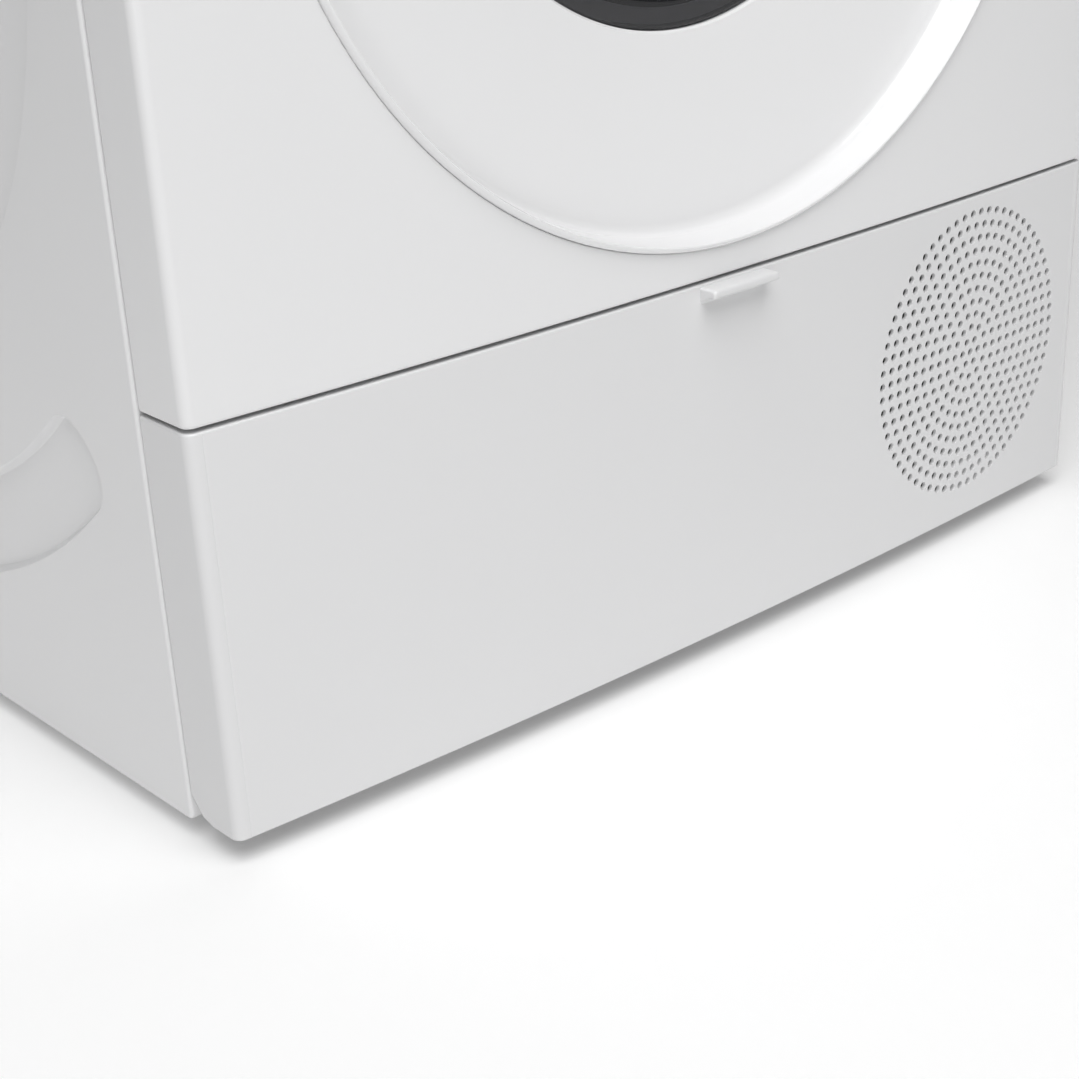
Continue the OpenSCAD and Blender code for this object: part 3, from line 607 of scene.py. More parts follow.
# %% [markdown]
# ## The front panel
# The panel is sheet steel. Its lower edge is folded in around a soft bend, and the round opening
# for the door has a collar that turns inwards. On the hinge side the opening is a little wider, and
# a slot beside it lets the hinge knuckles through.

# %% Front panel
low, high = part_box("front_panel")
door_low, door_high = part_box("door_ring")
DOOR_R = (door_high[0] - door_low[0]) / 2
DOOR_Z = (door_high[2] + door_low[2]) / 2
RING_Y = door_low[1]
SHEET = 1 * MM
HINGE_X = DOOR_R + 7.4 * MM
HINGE_HALF_Z = 39.5 * MM


def door_opening(grow):
    """The panel's opening: a circle with room for the hinge arms at its right."""
    points = []
    for x, z in circle_outline(0, DOOR_Z, DOOR_R + 0.15 * MM, 176)(grow):
        if x > 0 and abs(z - DOOR_Z) < HINGE_HALF_Z:
            x = max(x, HINGE_X - 5.5 * MM + grow)
        points.append((x, z))
    return points


panel_skin = Skin()
panel_window = (-272 * MM, 272 * MM, low[2] + 6 * MM, high[2] - 6 * MM)
xs = sweep_front(panel_skin, low[2], high[2], SHEET, 1.8 * MM, 10 * MM, panel_window)
collar = [(0.5 * MM * (1 - math.sin(a)), 0.5 * MM * (1 - math.cos(a))) for a in quarter_turns(3)]
collar += [(0, 9 * MM), (0.7 * MM, 9 * MM), (0.7 * MM, 1.6 * MM), (1.1 * MM, SHEET)]
SLOT_HALF = (3.6 * MM, 18.6 * MM)
hinge_slot = box_outline(HINGE_X - SLOT_HALF[0], HINGE_X + SLOT_HALF[0],
                         DOOR_Z - SLOT_HALF[1], DOOR_Z + SLOT_HALF[1], 1.2 * MM, 3)
slot_rim = [(0.2 * MM, 0), (0, 0.2 * MM), (0, 0.8 * MM), (0.2 * MM, SHEET)]
fill_window(panel_skin, panel_window, xs, [door_opening, hinge_slot], [collar, slot_rim], 22 * MM,
            SHEET)
panel_skin.build("front_panel_sheet", "white_enamel", "cabinet", ["front_panel"])

# %% [markdown]
# ## Turned pieces
# The door's ring, its glass, the dial and the buttons are round. Each is an outline of radius and
# depth, turned about a line that points forward. The outline's corners are rounded first.

# %% Turning tools
def soften(points, r, steps=3):
    """Rounds every corner of a closed outline with a small curve."""
    made = []
    count = len(points)
    for i in range(count):
        here = Vector(points[i])
        before = Vector(points[i - 1]) - here
        after = Vector(points[(i + 1) % count]) - here
        if here.x < 1e-9 or before.length < 1e-9 or after.length < 1e-9:
            made.append(tuple(here))
            continue
        cut = min(r, before.length * 0.45, after.length * 0.45)
        start = here + before.normalized() * cut
        end = here + after.normalized() * cut
        for step in range(steps + 1):
            t = step / steps
            made.append(tuple(start * (1 - t) ** 2 + here * 2 * t * (1 - t) + end * t**2))
    return made


def turn_outline(skin, outline, x, z, steps, ripple=None):
    """Turns a closed (radius, y) outline about the line through x and z that points along Y.
    ripple is (number of ribs, their depth) around the widest part."""
    rows = []
    widest = max(r for r, _ in outline)
    for i in range(steps):
        a = 2 * math.pi * i / steps
        row = []
        for r, y in outline:
            if ripple and r > widest * 0.97:
                r -= ripple[1] * (0.5 - 0.5 * math.cos(ripple[0] * a))
            row.append((x + r * math.cos(a), y, z + r * math.sin(a)))
        rows.append(skin.add(row))
    skin.loft(rows + [rows[0]])


def turned_piece(name, material_slot, body, replaces, outline, x, z, steps, r, ripple=None):
    """Builds a turned piece with softened corners."""
    skin = Skin()
    turn_outline(skin, soften(outline, r), x, z, steps, ripple)
    return skin.build(name, material_slot, body, replaces, smooth=40)


print("turning tools are ready")

# %% [markdown]
# ## The door's ring
# The ring has a thin bright lip, a steep wall behind it, a round fillet and a dish that runs
# inwards to the glass. At its left the dish holds a pocket for the fingers, undercut behind the
# outer wall. The dish is left open there and filled with a plate that has the pocket in it.

# %% Door ring
WINDOW_R = 150 * MM
FLAT_R = 196 * MM
RING_WALL = 2.2 * MM
FILLET_R = 7 * MM
DISH_LEAN = math.radians(8)
BACK_STEP = RING_WALL / math.cos(DISH_LEAN)
FILLET_AT = (DOOR_R - 11.9 * MM, RING_Y + 14.2 * MM)
POCKET_LEVEL = RING_Y + 35 * MM
POCKET_R = (WINDOW_R + 44 * MM, DOOR_R - 12 * MM)
POCKET_TURN = math.radians(14)
POCKET_MID_R = sum(POCKET_R) / 2
RING_STEPS, POCKET_STEPS = 180, 19


def fillet_arc(r, steps=10):
    """The fillet between the ring's wall and its dish, as (radius, y)."""
    turns = [(math.pi / 2 - DISH_LEAN) * i / steps for i in range(steps + 1)]
    return [(FILLET_AT[0] + r * math.cos(a), FILLET_AT[1] + r * math.sin(a)) for a in turns]


def follow_bow(x, y, z):
    """Lets the ring's outer part follow the bowed panel, so its lip stands out evenly."""
    r = math.hypot(x, z - DOOR_Z)
    t = min(1.0, max(0.0, (r - FLAT_R) / (DOOR_R - 6 * MM - FLAT_R)))
    return x, y + (bow_y(x) - APEX_Y) * t * t * (3 - 2 * t), z


def dish_y(r):
    """Where the dish's front surface lies at a radius."""
    return FILLET_AT[1] + FILLET_R / math.cos(DISH_LEAN) + (FILLET_AT[0] - r) * math.tan(DISH_LEAN)


def pocket_lift(u, r, depth):
    """Bends a flat drawing of (arc length, radius, depth) onto the dish at the door's left."""
    level = dish_y(r) + depth
    under = max(0.0, r - POCKET_MID_R) / (POCKET_R[1] - POCKET_MID_R)
    if depth > BACK_STEP:
        r += under * 7 * MM * min(1.0, (depth - BACK_STEP) / (6 * MM))
    a = math.pi - u / POCKET_MID_R
    return r * math.cos(a), min(level, POCKET_LEVEL + 1.8 * MM), DOOR_Z + r * math.sin(a)


def door_ring():
    """The ring's mesh with its finger pocket."""
    edge_in, edge_out = POCKET_R[0] - 8 * MM, FILLET_AT[0] + 0.2 * MM
    front = [(DOOR_R - 3.3 * MM, RING_Y + 1.0 * MM)] + fillet_arc(FILLET_R)
    front += [(edge_in, dish_y(edge_in)), (WINDOW_R + 1 * MM, dish_y(WINDOW_R + 1 * MM))]
    back = [(WINDOW_R + 6 * MM, RING_Y + 39.6 * MM),
            (WINDOW_R + 6 * MM, dish_y(WINDOW_R + 6 * MM) + BACK_STEP)]
    back += [(edge_in, dish_y(edge_in) + BACK_STEP)] + fillet_arc(FILLET_R + RING_WALL)[::-1]
    tip = [(WINDOW_R, dish_y(WINDOW_R) + 1 * MM), (WINDOW_R, RING_Y + 39.0 * MM),
           (WINDOW_R + 0.6 * MM, RING_Y + 39.6 * MM)]
    lip = [(0, 16), (0, 3.2), (0.25, 2.0), (0.8, 1.0), (1.6, 0.3), (2.3, 0.0), (2.9, 0.2)]
    outer = [(DOOR_R - r * MM, RING_Y + y * MM) for r, y in lip]
    outline = front + tip + back + outer
    open_front = len(fillet_arc(FILLET_R))
    open_back = len(front) + len(tip) + 2
    gap = POCKET_TURN + math.radians(5)
    turns = [math.pi + gap + 2 * (math.pi - gap) * i / RING_STEPS for i in range(RING_STEPS + 1)]
    pocket_turns = [math.pi + gap * (2 * i / POCKET_STEPS - 1) for i in range(POCKET_STEPS + 1)]
    skin = Skin()

    def rows_at(angles):
        return [skin.add([(r * math.cos(a), y, DOOR_Z + r * math.sin(a)) for r, y in outline])
                for a in angles]

    skin.loft(rows_at(turns))
    window_rows = rows_at(pocket_turns)
    for one, two in zip(window_rows, window_rows[1:]):
        for i in range(len(outline)):
            if i in (open_front, open_back):
                continue
            j = (i + 1) % len(outline)
            skin.faces.append((one[i], one[j], two[j], two[i]))
    outer_r = fillet_arc(FILLET_R)[-1][0]
    outer_back_r = fillet_arc(FILLET_R + RING_WALL)[-1][0]
    lengths = [(math.pi - a) * POCKET_MID_R for a in reversed(pocket_turns)]
    hole = fine_outline(box_outline(-POCKET_TURN * POCKET_MID_R, POCKET_TURN * POCKET_MID_R,
                                    POCKET_R[0], POCKET_R[1] - 3 * MM, 9 * MM), 8 * MM)
    floor_depth = POCKET_LEVEL - dish_y(POCKET_MID_R)
    rims = [(1.5 * MM * (1 - math.sin(a)), 1.5 * MM * (1 - math.cos(a))) for a in quarter_turns(4)]
    rims += [(0, 4 * MM), (0, floor_depth - 3 * MM), (-0.4 * MM, floor_depth - 1.2 * MM)]
    rims += [(-1.5 * MM, floor_depth)]
    cup = [(1.7 * MM, BACK_STEP), (1.7 * MM, floor_depth + 1 * MM), (1.0 * MM, floor_depth + 1.7 * MM)]
    for edge, depth, rings in ((outer_r, 0.0, rims), (outer_back_r, BACK_STEP, cup)):
        border = [(u, edge_in) for u in lengths] + [(u, edge) for u in reversed(lengths)]
        skin.fill(border, [hole(rings[0][0])], 9 * MM, pocket_lift, depth)
        skin.rim(hole, rings, pocket_lift)
        skin.fill(hole(rings[-1][0]), [], 9 * MM, pocket_lift, rings[-1][1])
    skin.points = [follow_bow(*point) for point in skin.points]
    return skin


door_ring().build("door_ring_moulding", "door_white", "door", ["door_ring"], smooth=40)

bowl = [(36, 102), (28, 98), (10.5, 48), (10.5, 39.6), (0.4, 39.6), (0.4, 34.6), (15.5, 34.6),
        (15.5, 47), (32, 94), (38, 97)]
bowl = [(WINDOW_R - inset * MM, RING_Y + y * MM) for inset, y in bowl]
bowl = [(0, bowl[0][1]), *bowl, (0, bowl[-1][1])]
turned_piece("door_glass", "smoked_window", "door", ["door_window"], bowl, 0, DOOR_Z, 128, 3 * MM)

# %% [markdown]
# ## The side panels
# A side panel is a shallow steel pan: its edges are folded inwards, and pressings make it stiff.
# A press leaves steep slopes with small soft shoulders, and its ends are round. Each pressing is
# drawn as an outline that shrinks ring by ring while it sinks, and its floor is filled at the end.

# %% Side panels
PRESS_Y, PRESS_Z = 7.4 * MM, 418.6 * MM
PRESS_DEPTH = 4.2 * MM
PRESS_SLOPE = 3.2 * MM
BAND_MID_R = 334 * MM
BAND_TURN = math.radians(42.7)


def band_outline(up):
    """A curved band with round ends, below (-1) or above (1) the middle of the panel."""
    half = BAND_TURN * BAND_MID_R - 5 * MM
    flat = fine_outline(box_outline(-half, half, 311 * MM, 357 * MM, 10 * MM, 8), 5 * MM)

    def draw(grow):
        points = []
        for s, r in flat(grow):
            bulge = 8 * MM * max(0.0, 1 - ((r - BAND_MID_R) / (23 * MM)) ** 2)
            turn = (s + math.copysign(bulge, s) * (abs(s) > half - 12 * MM)) / BAND_MID_R
            points.append((PRESS_Y + r * math.sin(turn), PRESS_Z + up * r * math.cos(turn)))
        return points
    return draw


def side_skin(side):
    """One side panel. side is -1 for the left."""
    low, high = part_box("left_side_panel")
    skin = Skin()

    def lift(y, z, depth):
        return side * (HALF_W - depth), y, z

    border = fine_outline(box_outline(low[1], high[1], low[2], high[2], 3 * MM, 4), 24 * MM)
    fold_r = 1.8 * MM
    fold = [(-fold_r * (1 - math.sin(a)), fold_r * (1 - math.cos(a))) for a in quarter_turns(5)]
    fold += [(0, 10 * MM), (-SHEET, 10 * MM), (-SHEET, 2.4 * MM), (-2.4 * MM, SHEET)]
    steps = [i / 8 for i in range(9)]
    slope = [(-PRESS_SLOPE * t, PRESS_DEPTH * t * t * (3 - 2 * t)) for t in steps]
    pressings = [circle_outline(PRESS_Y, PRESS_Z, 242 * MM, 160), band_outline(-1), band_outline(1)]
    skin.rim(border, fold, lift)
    for depth, edge in ((0.0, fold[0][0]), (SHEET, fold[-1][0])):
        skin.fill(border(edge), [draw(0) for draw in pressings], 26 * MM, lift, depth)
        for draw in pressings:
            skin.fill(draw(slope[-1][0]), [], 26 * MM, lift, depth + PRESS_DEPTH)
        for draw in pressings:
            skin.rim(draw, [(grow, depth + sink) for grow, sink in slope], lift)
    return skin


side_skin(-1).build("left_side_sheet", "white_enamel", "cabinet", ["left_side_panel"])
side_skin(1).build("right_side_sheet", "white_enamel", "cabinet", ["right_side_panel"])

# %% [markdown]
# ## The control fascia
# The fascia is a moulding like the flap, swept along the same front. It has openings for the water
# container, the display lens, the two buttons and the dial's shaft.

# %% Fascia, container front and display lens
low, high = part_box("control_fascia")
DIAL_Z = 769.5 * MM
container_low, container_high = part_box("container_front")
FASCIA_WALL = 2.5 * MM
fascia_skin = Skin()
fascia_window = (-291 * MM, 291 * MM, low[2] + 5 * MM, high[2] - 5 * MM)
xs = sweep_front(fascia_skin, low[2], high[2], FASCIA_WALL, 1.5 * MM, 10 * MM, fascia_window)
container_hole = fine_outline(box_outline(container_low[0] - 1 * MM, container_high[0] + 1 * MM,
                                          container_low[2] - 1 * MM, container_high[2] + 1 * MM,
                                          3 * MM), 12 * MM)
lens_hole = fine_outline(box_outline(61.8 * MM, 188.2 * MM, DIAL_Z - 17.2 * MM, DIAL_Z + 17.2 * MM,
                                     4 * MM), 12 * MM)
round_holes = [circle_outline(0, DIAL_Z, 3.6 * MM, 32), circle_outline(-60 * MM, DIAL_Z, 8.4 * MM, 48),
               circle_outline(245 * MM, DIAL_Z, 12.4 * MM, 64)]
fill_window(fascia_skin, fascia_window, xs, [container_hole, lens_hole, *round_holes],
            rolled_rim(0.5 * MM, FASCIA_WALL), 14 * MM, FASCIA_WALL)
fascia_skin.build("fascia_moulding", "white_plastic", "cabinet", ["control_fascia"])


def on_front(x, z, depth):
    """Bends a flat drawing onto the bowed front."""
    return x, bow_y(x, depth), z


front_plate = Skin()
container_edge = fine_outline(box_outline(container_low[0], container_high[0], container_low[2],
                                          container_high[2], 2.4 * MM), 12 * MM)
grip_hole = fine_outline(box_outline(container_low[0] + 51 * MM, container_high[0] - 51 * MM,
                                     container_low[2] + 9 * MM, container_low[2] + 31 * MM,
                                     7 * MM), 12 * MM)
front_plate.plate(container_edge, [grip_hole], on_front, rolled_rim(1.1 * MM, 3 * MM),
                  rolled_border(0.8 * MM, 3 * MM), 14 * MM, 3 * MM)
front_plate.build("container_front_moulding", "white_plastic", "water_container", ["container_front"])

lens = Skin()
lens_edge = fine_outline(box_outline(62 * MM, 188 * MM, DIAL_Z - 17 * MM, DIAL_Z + 17 * MM,
                                     3.8 * MM), 12 * MM)
lens.plate(lens_edge, [], on_front, [(0, 0), (0, 0)], rolled_border(0.3 * MM, 2.4 * MM), 14 * MM,
           2.4 * MM)
lens.build("display_lens_plate", "display_lens", "cabinet", ["display_window"])

# %% [markdown]
# ## Dial and buttons
# The dial has fine ribs around it for grip and a small raised mark that shows its turn. The
# buttons are shallow cups, so a fingertip finds them.

# %% Dial and buttons
dial_low, dial_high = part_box("program_dial")
DIAL_R = (dial_high[0] - dial_low[0]) / 2
face_y = dial_low[1]
dial = [(0, face_y + 1.0 * MM), (DIAL_R - 6 * MM, face_y + 0.8 * MM), (DIAL_R - 4 * MM, face_y),
        (DIAL_R - 2.2 * MM, face_y), (DIAL_R - 0.6 * MM, face_y + 1.4 * MM), (DIAL_R, face_y + 7.9 * MM),
        (DIAL_R - 2 * MM, face_y + 8 * MM), (3 * MM, face_y + 8 * MM), (3 * MM, dial_high[1]),
        (0, dial_high[1])]
turned_piece("dial_knob", "knob_plastic", "dial", ["program_dial"], dial, 0, DIAL_Z, 288, 0.7 * MM,
             ripple=(48, 0.35 * MM))

mark = Skin()
mark_edge = box_outline(-0.9 * MM, 0.9 * MM, DIAL_Z + 9 * MM, DIAL_Z + 16.5 * MM, 0.9 * MM)
mark.plate(mark_edge, [], lambda x, z, depth: (x, face_y + 0.3 * MM + depth, z), [(0, 0), (0, 0)],
           rolled_border(0.25 * MM, 0.9 * MM), 4 * MM, 0.9 * MM)
mark.build("dial_mark", "white_plastic", "dial")

for node, body, r in (("power_button", "power_key", 8 * MM), ("start_button", "start_key", 12 * MM)):
    low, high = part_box(node)
    cup = [(0, low[1] + 0.9 * MM), (r - 3 * MM, low[1] + 0.5 * MM), (r - 1.2 * MM, low[1]),
           (r, low[1] + 0.6 * MM), (r, high[1]), (0, high[1])]
    middle_x = (low[0] + high[0]) / 2
    turned_piece(node + "_cap", "knob_plastic", body, [node], cup, middle_x, DIAL_Z, 72, 0.5 * MM)

# %% [markdown]
# ## The worktop
# The worktop is a laminated board inside a thin frame. A fine groove shows where the frame ends.
# Its outline from above is the same bowed front, closed by a straight back.

# %% Worktop
def top_outline(inset, back_y):
    """The worktop seen from above, taken inwards by inset."""
    path = [c for c in columns([x * MM for x in range(-285, 286, 15)], 0) if c[0] != "lip"]
    points = [inset_point(column, inset - SIDE_STEP, 0) for column in path]
    points = [(x, max(y, low[1] + inset)) for x, y in points]
    edge_x = HALF_W - inset
    return [(-edge_x, back_y - inset)] + points + [(edge_x, back_y - inset)]


low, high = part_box("worktop")
top_skin = Skin()
groove_z = high[2] - 3.2 * MM
levels = [(2 * MM, low[2]), (1.4 * MM, low[2]), (0.4 * MM, low[2] + 0.4 * MM), (0, low[2] + 1.4 * MM),
          (0, groove_z - 0.5 * MM), (0.7 * MM, groove_z - 0.2 * MM), (0.7 * MM, groove_z + 0.2 * MM),
          (0, groove_z + 0.5 * MM), (0, high[2] - 1.6 * MM), (0.5 * MM, high[2] - 0.5 * MM),
          (1.6 * MM, high[2]), (3 * MM, high[2])]
rows = [top_skin.add([(x, y, z) for x, y in top_outline(inset, high[1])]) for inset, z in levels]
top_skin.loft(rows)
top_skin.faces.append(tuple(rows[0]))
top_skin.faces.append(tuple(reversed(rows[-1])))
top_skin.build("worktop_board", "white_laminate", "cabinet", ["worktop"])

# %% [markdown]
# ## Pieces inside and behind
# The other pieces already have their true shape in the frame, but with knife-sharp edges. A copy
# of each gets a small bevel, which catches light as real edges do. The size of the bevel follows
# how the piece is made: cast rubber is rounder than folded sheet.

# %% Softened copies
BEVELS = {
    "zinc_sheet": 0.3, "turned_steel": 0.35, "dark_plastic": 0.5, "pale_plastic": 0.5,
    "rubber_black": 1.0, "compressor_shell": 1.5, "lamp_lens": 0.6, "idler_plastic": 0.5,
    "seal_grey": 0.6, "circuit_board": 0.2, "copper_pipe": 0.0, "coil_fins": 0.0, "felt": 0.4,
    "filter_foam": 0.6, "drum_steel": 0.3,
}


def softened(node, slot_name, width):
    """A copy of a frame piece with clean faces and rounded edges."""
    mesh = frame["nodes"][node].data.copy()
    mesh.name = node + "_soft"
    shape = bmesh.new()
    shape.from_mesh(mesh)
    bmesh.ops.remove_doubles(shape, verts=shape.verts, dist=1e-6)
    bmesh.ops.dissolve_limit(shape, angle_limit=math.radians(0.6), verts=shape.verts, edges=shape.edges)
    bmesh.ops.recalc_face_normals(shape, faces=shape.faces)
    shape.to_mesh(mesh)
    shape.free()
    mesh.materials.clear()
    if "custom_normal" in mesh.attributes:
        mesh.attributes.remove(mesh.attributes["custom_normal"])
    body = next(b for b, names in bodies.items() if node in names)
    piece = finish_piece(mesh, mesh.name, slot_name, body, [node], 32, False)
    if width:
        bevel = piece.modifiers.new("soft_edges", "BEVEL")
        bevel.width = width
        bevel.segments = 2
        bevel.limit_method = "ANGLE"
        bevel.angle_limit = math.radians(40)
        bevel.use_clamp_overlap = True
        bevel.harden_normals = False
    even = piece.modifiers.new("even_normals", "WEIGHTED_NORMAL")
    even.keep_sharp = True
    return piece


bodies = frame["record"]["behaviour"]["bodies"]
node_slots = {part["node"]: part["material_slot"] for part in frame["record"]["subparts"]}
for node, slot_name in node_slots.items():
    if not frame["nodes"][node].hide_render:
        softened(node, slot_name, BEVELS[slot_name] * MM)

# %% [markdown]
# ## Finishes
# No finish is one flat colour. Painted steel has a faint orange peel, mouldings a fine grain, rolled
# metal has lines along its length, felt has fibres and coils have fins. Each of these is a small
# node group that works in the object's own coordinates, and a material joins one group to a shader.

# %% Node groups
def make_group(name, inputs, outputs):
    """An empty node group with its sockets. Returns the tree, its input and its output node."""
    tree = bpy.data.node_groups.new(name, "ShaderNodeTree")
    for label, kind, value in inputs:
        made = tree.interface.new_socket(label, in_out="INPUT", socket_type=kind)
        made.default_value = value
    for label, kind in outputs:
        tree.interface.new_socket(label, in_out="OUTPUT", socket_type=kind)
    return tree, tree.nodes.new("NodeGroupInput"), tree.nodes.new("NodeGroupOutput")


FLOAT, COLOUR = "NodeSocketFloat", "NodeSocketColor"


def math_node(tree, operation, **constants):
    """A math node. Each constant is given as in0, in1 or in2."""
    node = tree.nodes.new("ShaderNodeMath")
    node.operation = operation
    for label, value in constants.items():
        node.inputs[int(label[2:])].default_value = value
    return node


def coloured_drift(tree, start, end, factor):
    """Mixes the group's colour towards a darker one by a factor and writes Colour and Roughness."""
    links = tree.links
    dark = tree.nodes.new("ShaderNodeMix")
    dark.data_type = "RGBA"
    dark.blend_type = "MULTIPLY"
    dark.inputs["Factor"].default_value = 1.0
    tone = tree.nodes.new("ShaderNodeMapRange")
    tone.inputs["From Min"].default_value = 0.3
    tone.inputs["From Max"].default_value = 0.7
    tone.inputs["To Max"].default_value = 1.0
    less = math_node(tree, "SUBTRACT", in0=1.0)
    links.new(start.outputs["Amount"], less.inputs[1])
    links.new(less.outputs[0], tone.inputs["To Min"])
    links.new(factor, tone.inputs["Value"])
    links.new(start.outputs["Colour"], dark.inputs["A"])
    links.new(tone.outputs["Result"], dark.inputs["B"])
    links.new(dark.outputs["Result"], end.inputs["Colour"])
    rough = math_node(tree, "MULTIPLY_ADD")
    links.new(start.outputs["Amount"], rough.inputs[0])
    links.new(factor, rough.inputs[1])
    links.new(start.outputs["Roughness"], rough.inputs[2])
    links.new(rough.outputs[0], end.inputs["Roughness"])


SHARED_INPUTS = [("Colour", COLOUR, (0.8, 0.8, 0.8, 1)), ("Roughness", FLOAT, 0.5),
                 ("Amount", FLOAT, 0.05), ("Scale", FLOAT, 100.0)]
SHARED_OUTPUTS = [("Colour", COLOUR), ("Roughness", FLOAT), ("Height", FLOAT)]


def texture_group(name, kind, stretch, drift_scale, settings):
    """A group whose height comes from one texture and whose tone drifts with a slow noise."""
    tree, start, end = make_group(name, SHARED_INPUTS, SHARED_OUTPUTS)
    place = tree.nodes.new("ShaderNodeTexCoord")
    mapping = tree.nodes.new("ShaderNodeMapping")
    mapping.inputs["Scale"].default_value = stretch
    tree.links.new(place.outputs["Object"], mapping.inputs["Vector"])
    texture = tree.nodes.new(kind)
    for label, value in settings.items():
        if label in texture.inputs:
            texture.inputs[label].default_value = value
        else:
            setattr(texture, label, value)
    tree.links.new(mapping.outputs["Vector"], texture.inputs["Vector"])
    tree.links.new(start.outputs["Scale"], texture.inputs["Scale"])
    slow = tree.nodes.new("ShaderNodeTexNoise")
    slow.inputs["Scale"].default_value = drift_scale
    slow.inputs["Detail"].default_value = 3
    tree.links.new(mapping.outputs["Vector"], slow.inputs["Vector"])
    value = texture.outputs[0]
    tree.links.new(value, end.inputs["Height"])
    mix = math_node(tree, "MULTIPLY_ADD", in1=0.35)
    tree.links.new(value, mix.inputs[0])
    share = math_node(tree, "MULTIPLY", in1=0.65)
    tree.links.new(slow.outputs[0], share.inputs[0])
    tree.links.new(share.outputs[0], mix.inputs[2])
    coloured_drift(tree, start, end, mix.outputs[0])
    return tree


GROUPS = {
    "grain": texture_group("fine_grain", "ShaderNodeTexNoise", (1, 1, 1), 7,
                           {"Detail": 3.0, "Roughness": 0.6}),
    "lines": texture_group("rolled_lines", "ShaderNodeTexNoise", (1, 1, 14), 20, {"Detail": 4.0}),
    "rings": texture_group("turned_rings", "ShaderNodeTexNoise", (1, 12, 1), 20, {"Detail": 4.0}),
    "fibres": texture_group("felt_fibres", "ShaderNodeTexVoronoi", (1, 1, 1), 40, {"Randomness": 1.0}),
    "fins": texture_group("fin_stack", "ShaderNodeTexWave", (1, 1, 1), 12,
                          {"bands_direction": "X", "Distortion": 0.0}),
    "tracks": texture_group("board_tracks", "ShaderNodeTexBrick", (1, 0.001, 1), 60,
                            {"Mortar Size": 0.02, "Brick Width": 0.6, "Row Height": 0.3}),
}
print("node groups:", ", ".join(GROUPS))

# %% [markdown]
# ## One material for each slot
# Every row says: the group, its scale, how much the tone drifts, the colour, the roughness, how
# metallic it is, the bump and the clear coat. Whites stay below full white, so light can shape them.

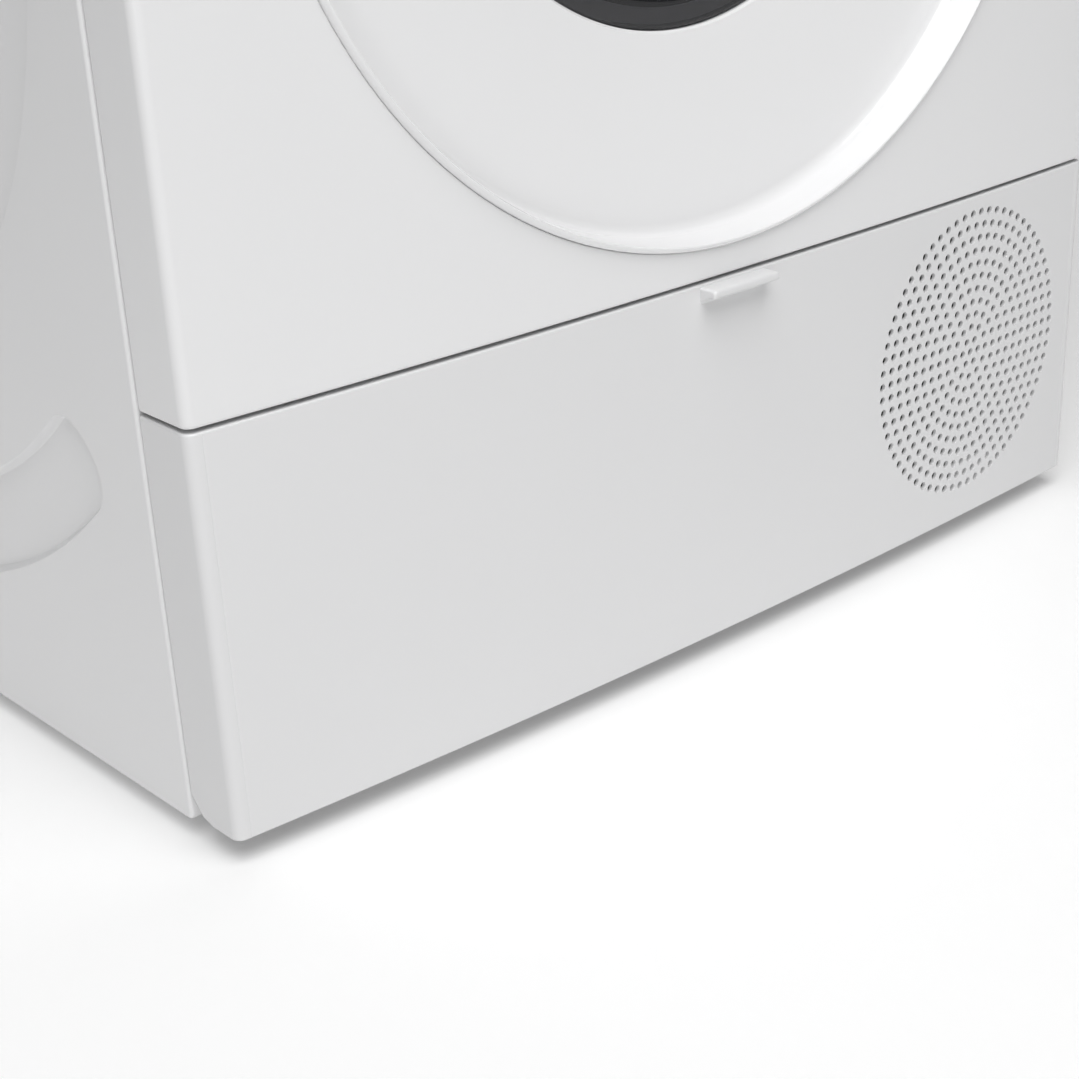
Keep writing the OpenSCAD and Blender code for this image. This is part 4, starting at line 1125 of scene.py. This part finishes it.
# %% Materials
FINISHES = {
    "white_enamel": ("grain", 420, 0.012, (0.82, 0.82, 0.825), 0.34, 0, 0.05, 0.25),
    "door_white": ("grain", 1400, 0.01, (0.86, 0.86, 0.865), 0.24, 0, 0.02, 0.4),
    "white_laminate": ("grain", 900, 0.015, (0.83, 0.83, 0.83), 0.42, 0, 0.05, 0.0),
    "white_plastic": ("grain", 1400, 0.012, (0.76, 0.76, 0.765), 0.36, 0, 0.04, 0.15),
    "pale_plastic": ("grain", 1100, 0.04, (0.52, 0.52, 0.51), 0.5, 0, 0.1, 0.0),
    "dark_plastic": ("grain", 900, 0.15, (0.018, 0.018, 0.02), 0.5, 0, 0.15, 0.0),
    "smoked_window": ("grain", 60, 0.02, (0.10, 0.10, 0.11), 0.06, 0, 0.01, 0.0),
    "display_lens": ("grain", 60, 0.05, (0.008, 0.008, 0.009), 0.08, 0, 0.01, 0.4),
    "lamp_lens": ("grain", 500, 0.03, (0.85, 0.83, 0.74), 0.35, 0, 0.1, 0.0),
    "circuit_board": ("tracks", 90, 0.35, (0.010, 0.075, 0.03), 0.35, 0, 0.1, 0.3),
    "zinc_sheet": ("lines", 60, 0.16, (0.46, 0.47, 0.49), 0.36, 1, 0.06, 0.0),
    "drum_steel": ("rings", 60, 0.12, (0.56, 0.56, 0.57), 0.28, 1, 0.06, 0.0),
    "turned_steel": ("rings", 160, 0.14, (0.40, 0.40, 0.42), 0.32, 1, 0.08, 0.0),
    "felt": ("fibres", 700, 0.35, (0.17, 0.17, 0.155), 0.92, 0, 0.5, 0.0),
    "compressor_shell": ("grain", 500, 0.2, (0.012, 0.012, 0.014), 0.4, 0, 0.12, 0.2),
    "rubber_black": ("grain", 700, 0.25, (0.014, 0.014, 0.014), 0.75, 0, 0.25, 0.0),
    "seal_grey": ("grain", 700, 0.15, (0.11, 0.11, 0.115), 0.7, 0, 0.2, 0.0),
    "idler_plastic": ("rings", 220, 0.15, (0.035, 0.035, 0.04), 0.5, 0, 0.12, 0.0),
    "coil_fins": ("fins", 400, 0.55, (0.55, 0.56, 0.57), 0.4, 1, 0.6, 0.0),
    "copper_pipe": ("lines", 200, 0.2, (0.55, 0.24, 0.13), 0.3, 1, 0.08, 0.0),
    "filter_foam": ("fibres", 450, 0.6, (0.035, 0.035, 0.04), 0.95, 0, 0.8, 0.0),
    "knob_plastic": ("grain", 1200, 0.03, (0.56, 0.56, 0.57), 0.32, 0, 0.05, 0.15),
}


def make_material(name, group, scale, amount, colour, roughness, metallic, bump_strength, coat):
    """A procedural material: one shared group and a shader."""
    material = bpy.data.materials.new(name)
    material.use_nodes = True
    nodes, links = material.node_tree.nodes, material.node_tree.links
    shader = nodes["Principled BSDF"]
    effect = nodes.new("ShaderNodeGroup")
    effect.node_tree = GROUPS[group]
    effect.inputs["Colour"].default_value = (*colour, 1)
    effect.inputs["Roughness"].default_value = roughness
    effect.inputs["Amount"].default_value = amount
    effect.inputs["Scale"].default_value = scale
    bump = nodes.new("ShaderNodeBump")
    bump.inputs["Strength"].default_value = bump_strength
    bump.inputs["Distance"].default_value = 0.0002
    links.new(effect.outputs["Colour"], shader.inputs["Base Color"])
    links.new(effect.outputs["Roughness"], shader.inputs["Roughness"])
    links.new(effect.outputs["Height"], bump.inputs["Height"])
    links.new(bump.outputs["Normal"], shader.inputs["Normal"])
    shader.inputs["Metallic"].default_value = metallic
    shader.inputs["Coat Weight"].default_value = coat
    shader.inputs["Coat Roughness"].default_value = 0.15
    if name == "smoked_window":
        shader.inputs["Transmission Weight"].default_value = 0.85
        shader.inputs["IOR"].default_value = 1.45
    if name == "lamp_lens":
        shader.inputs["Subsurface Weight"].default_value = 0.2
    return material


materials = {name: make_material(name, *finish) for name, finish in FINISHES.items()}
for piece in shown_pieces():
    name = piece.get("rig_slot") or node_slots[piece.name]
    piece.data.materials.clear()
    piece.data.materials.append(materials[name])
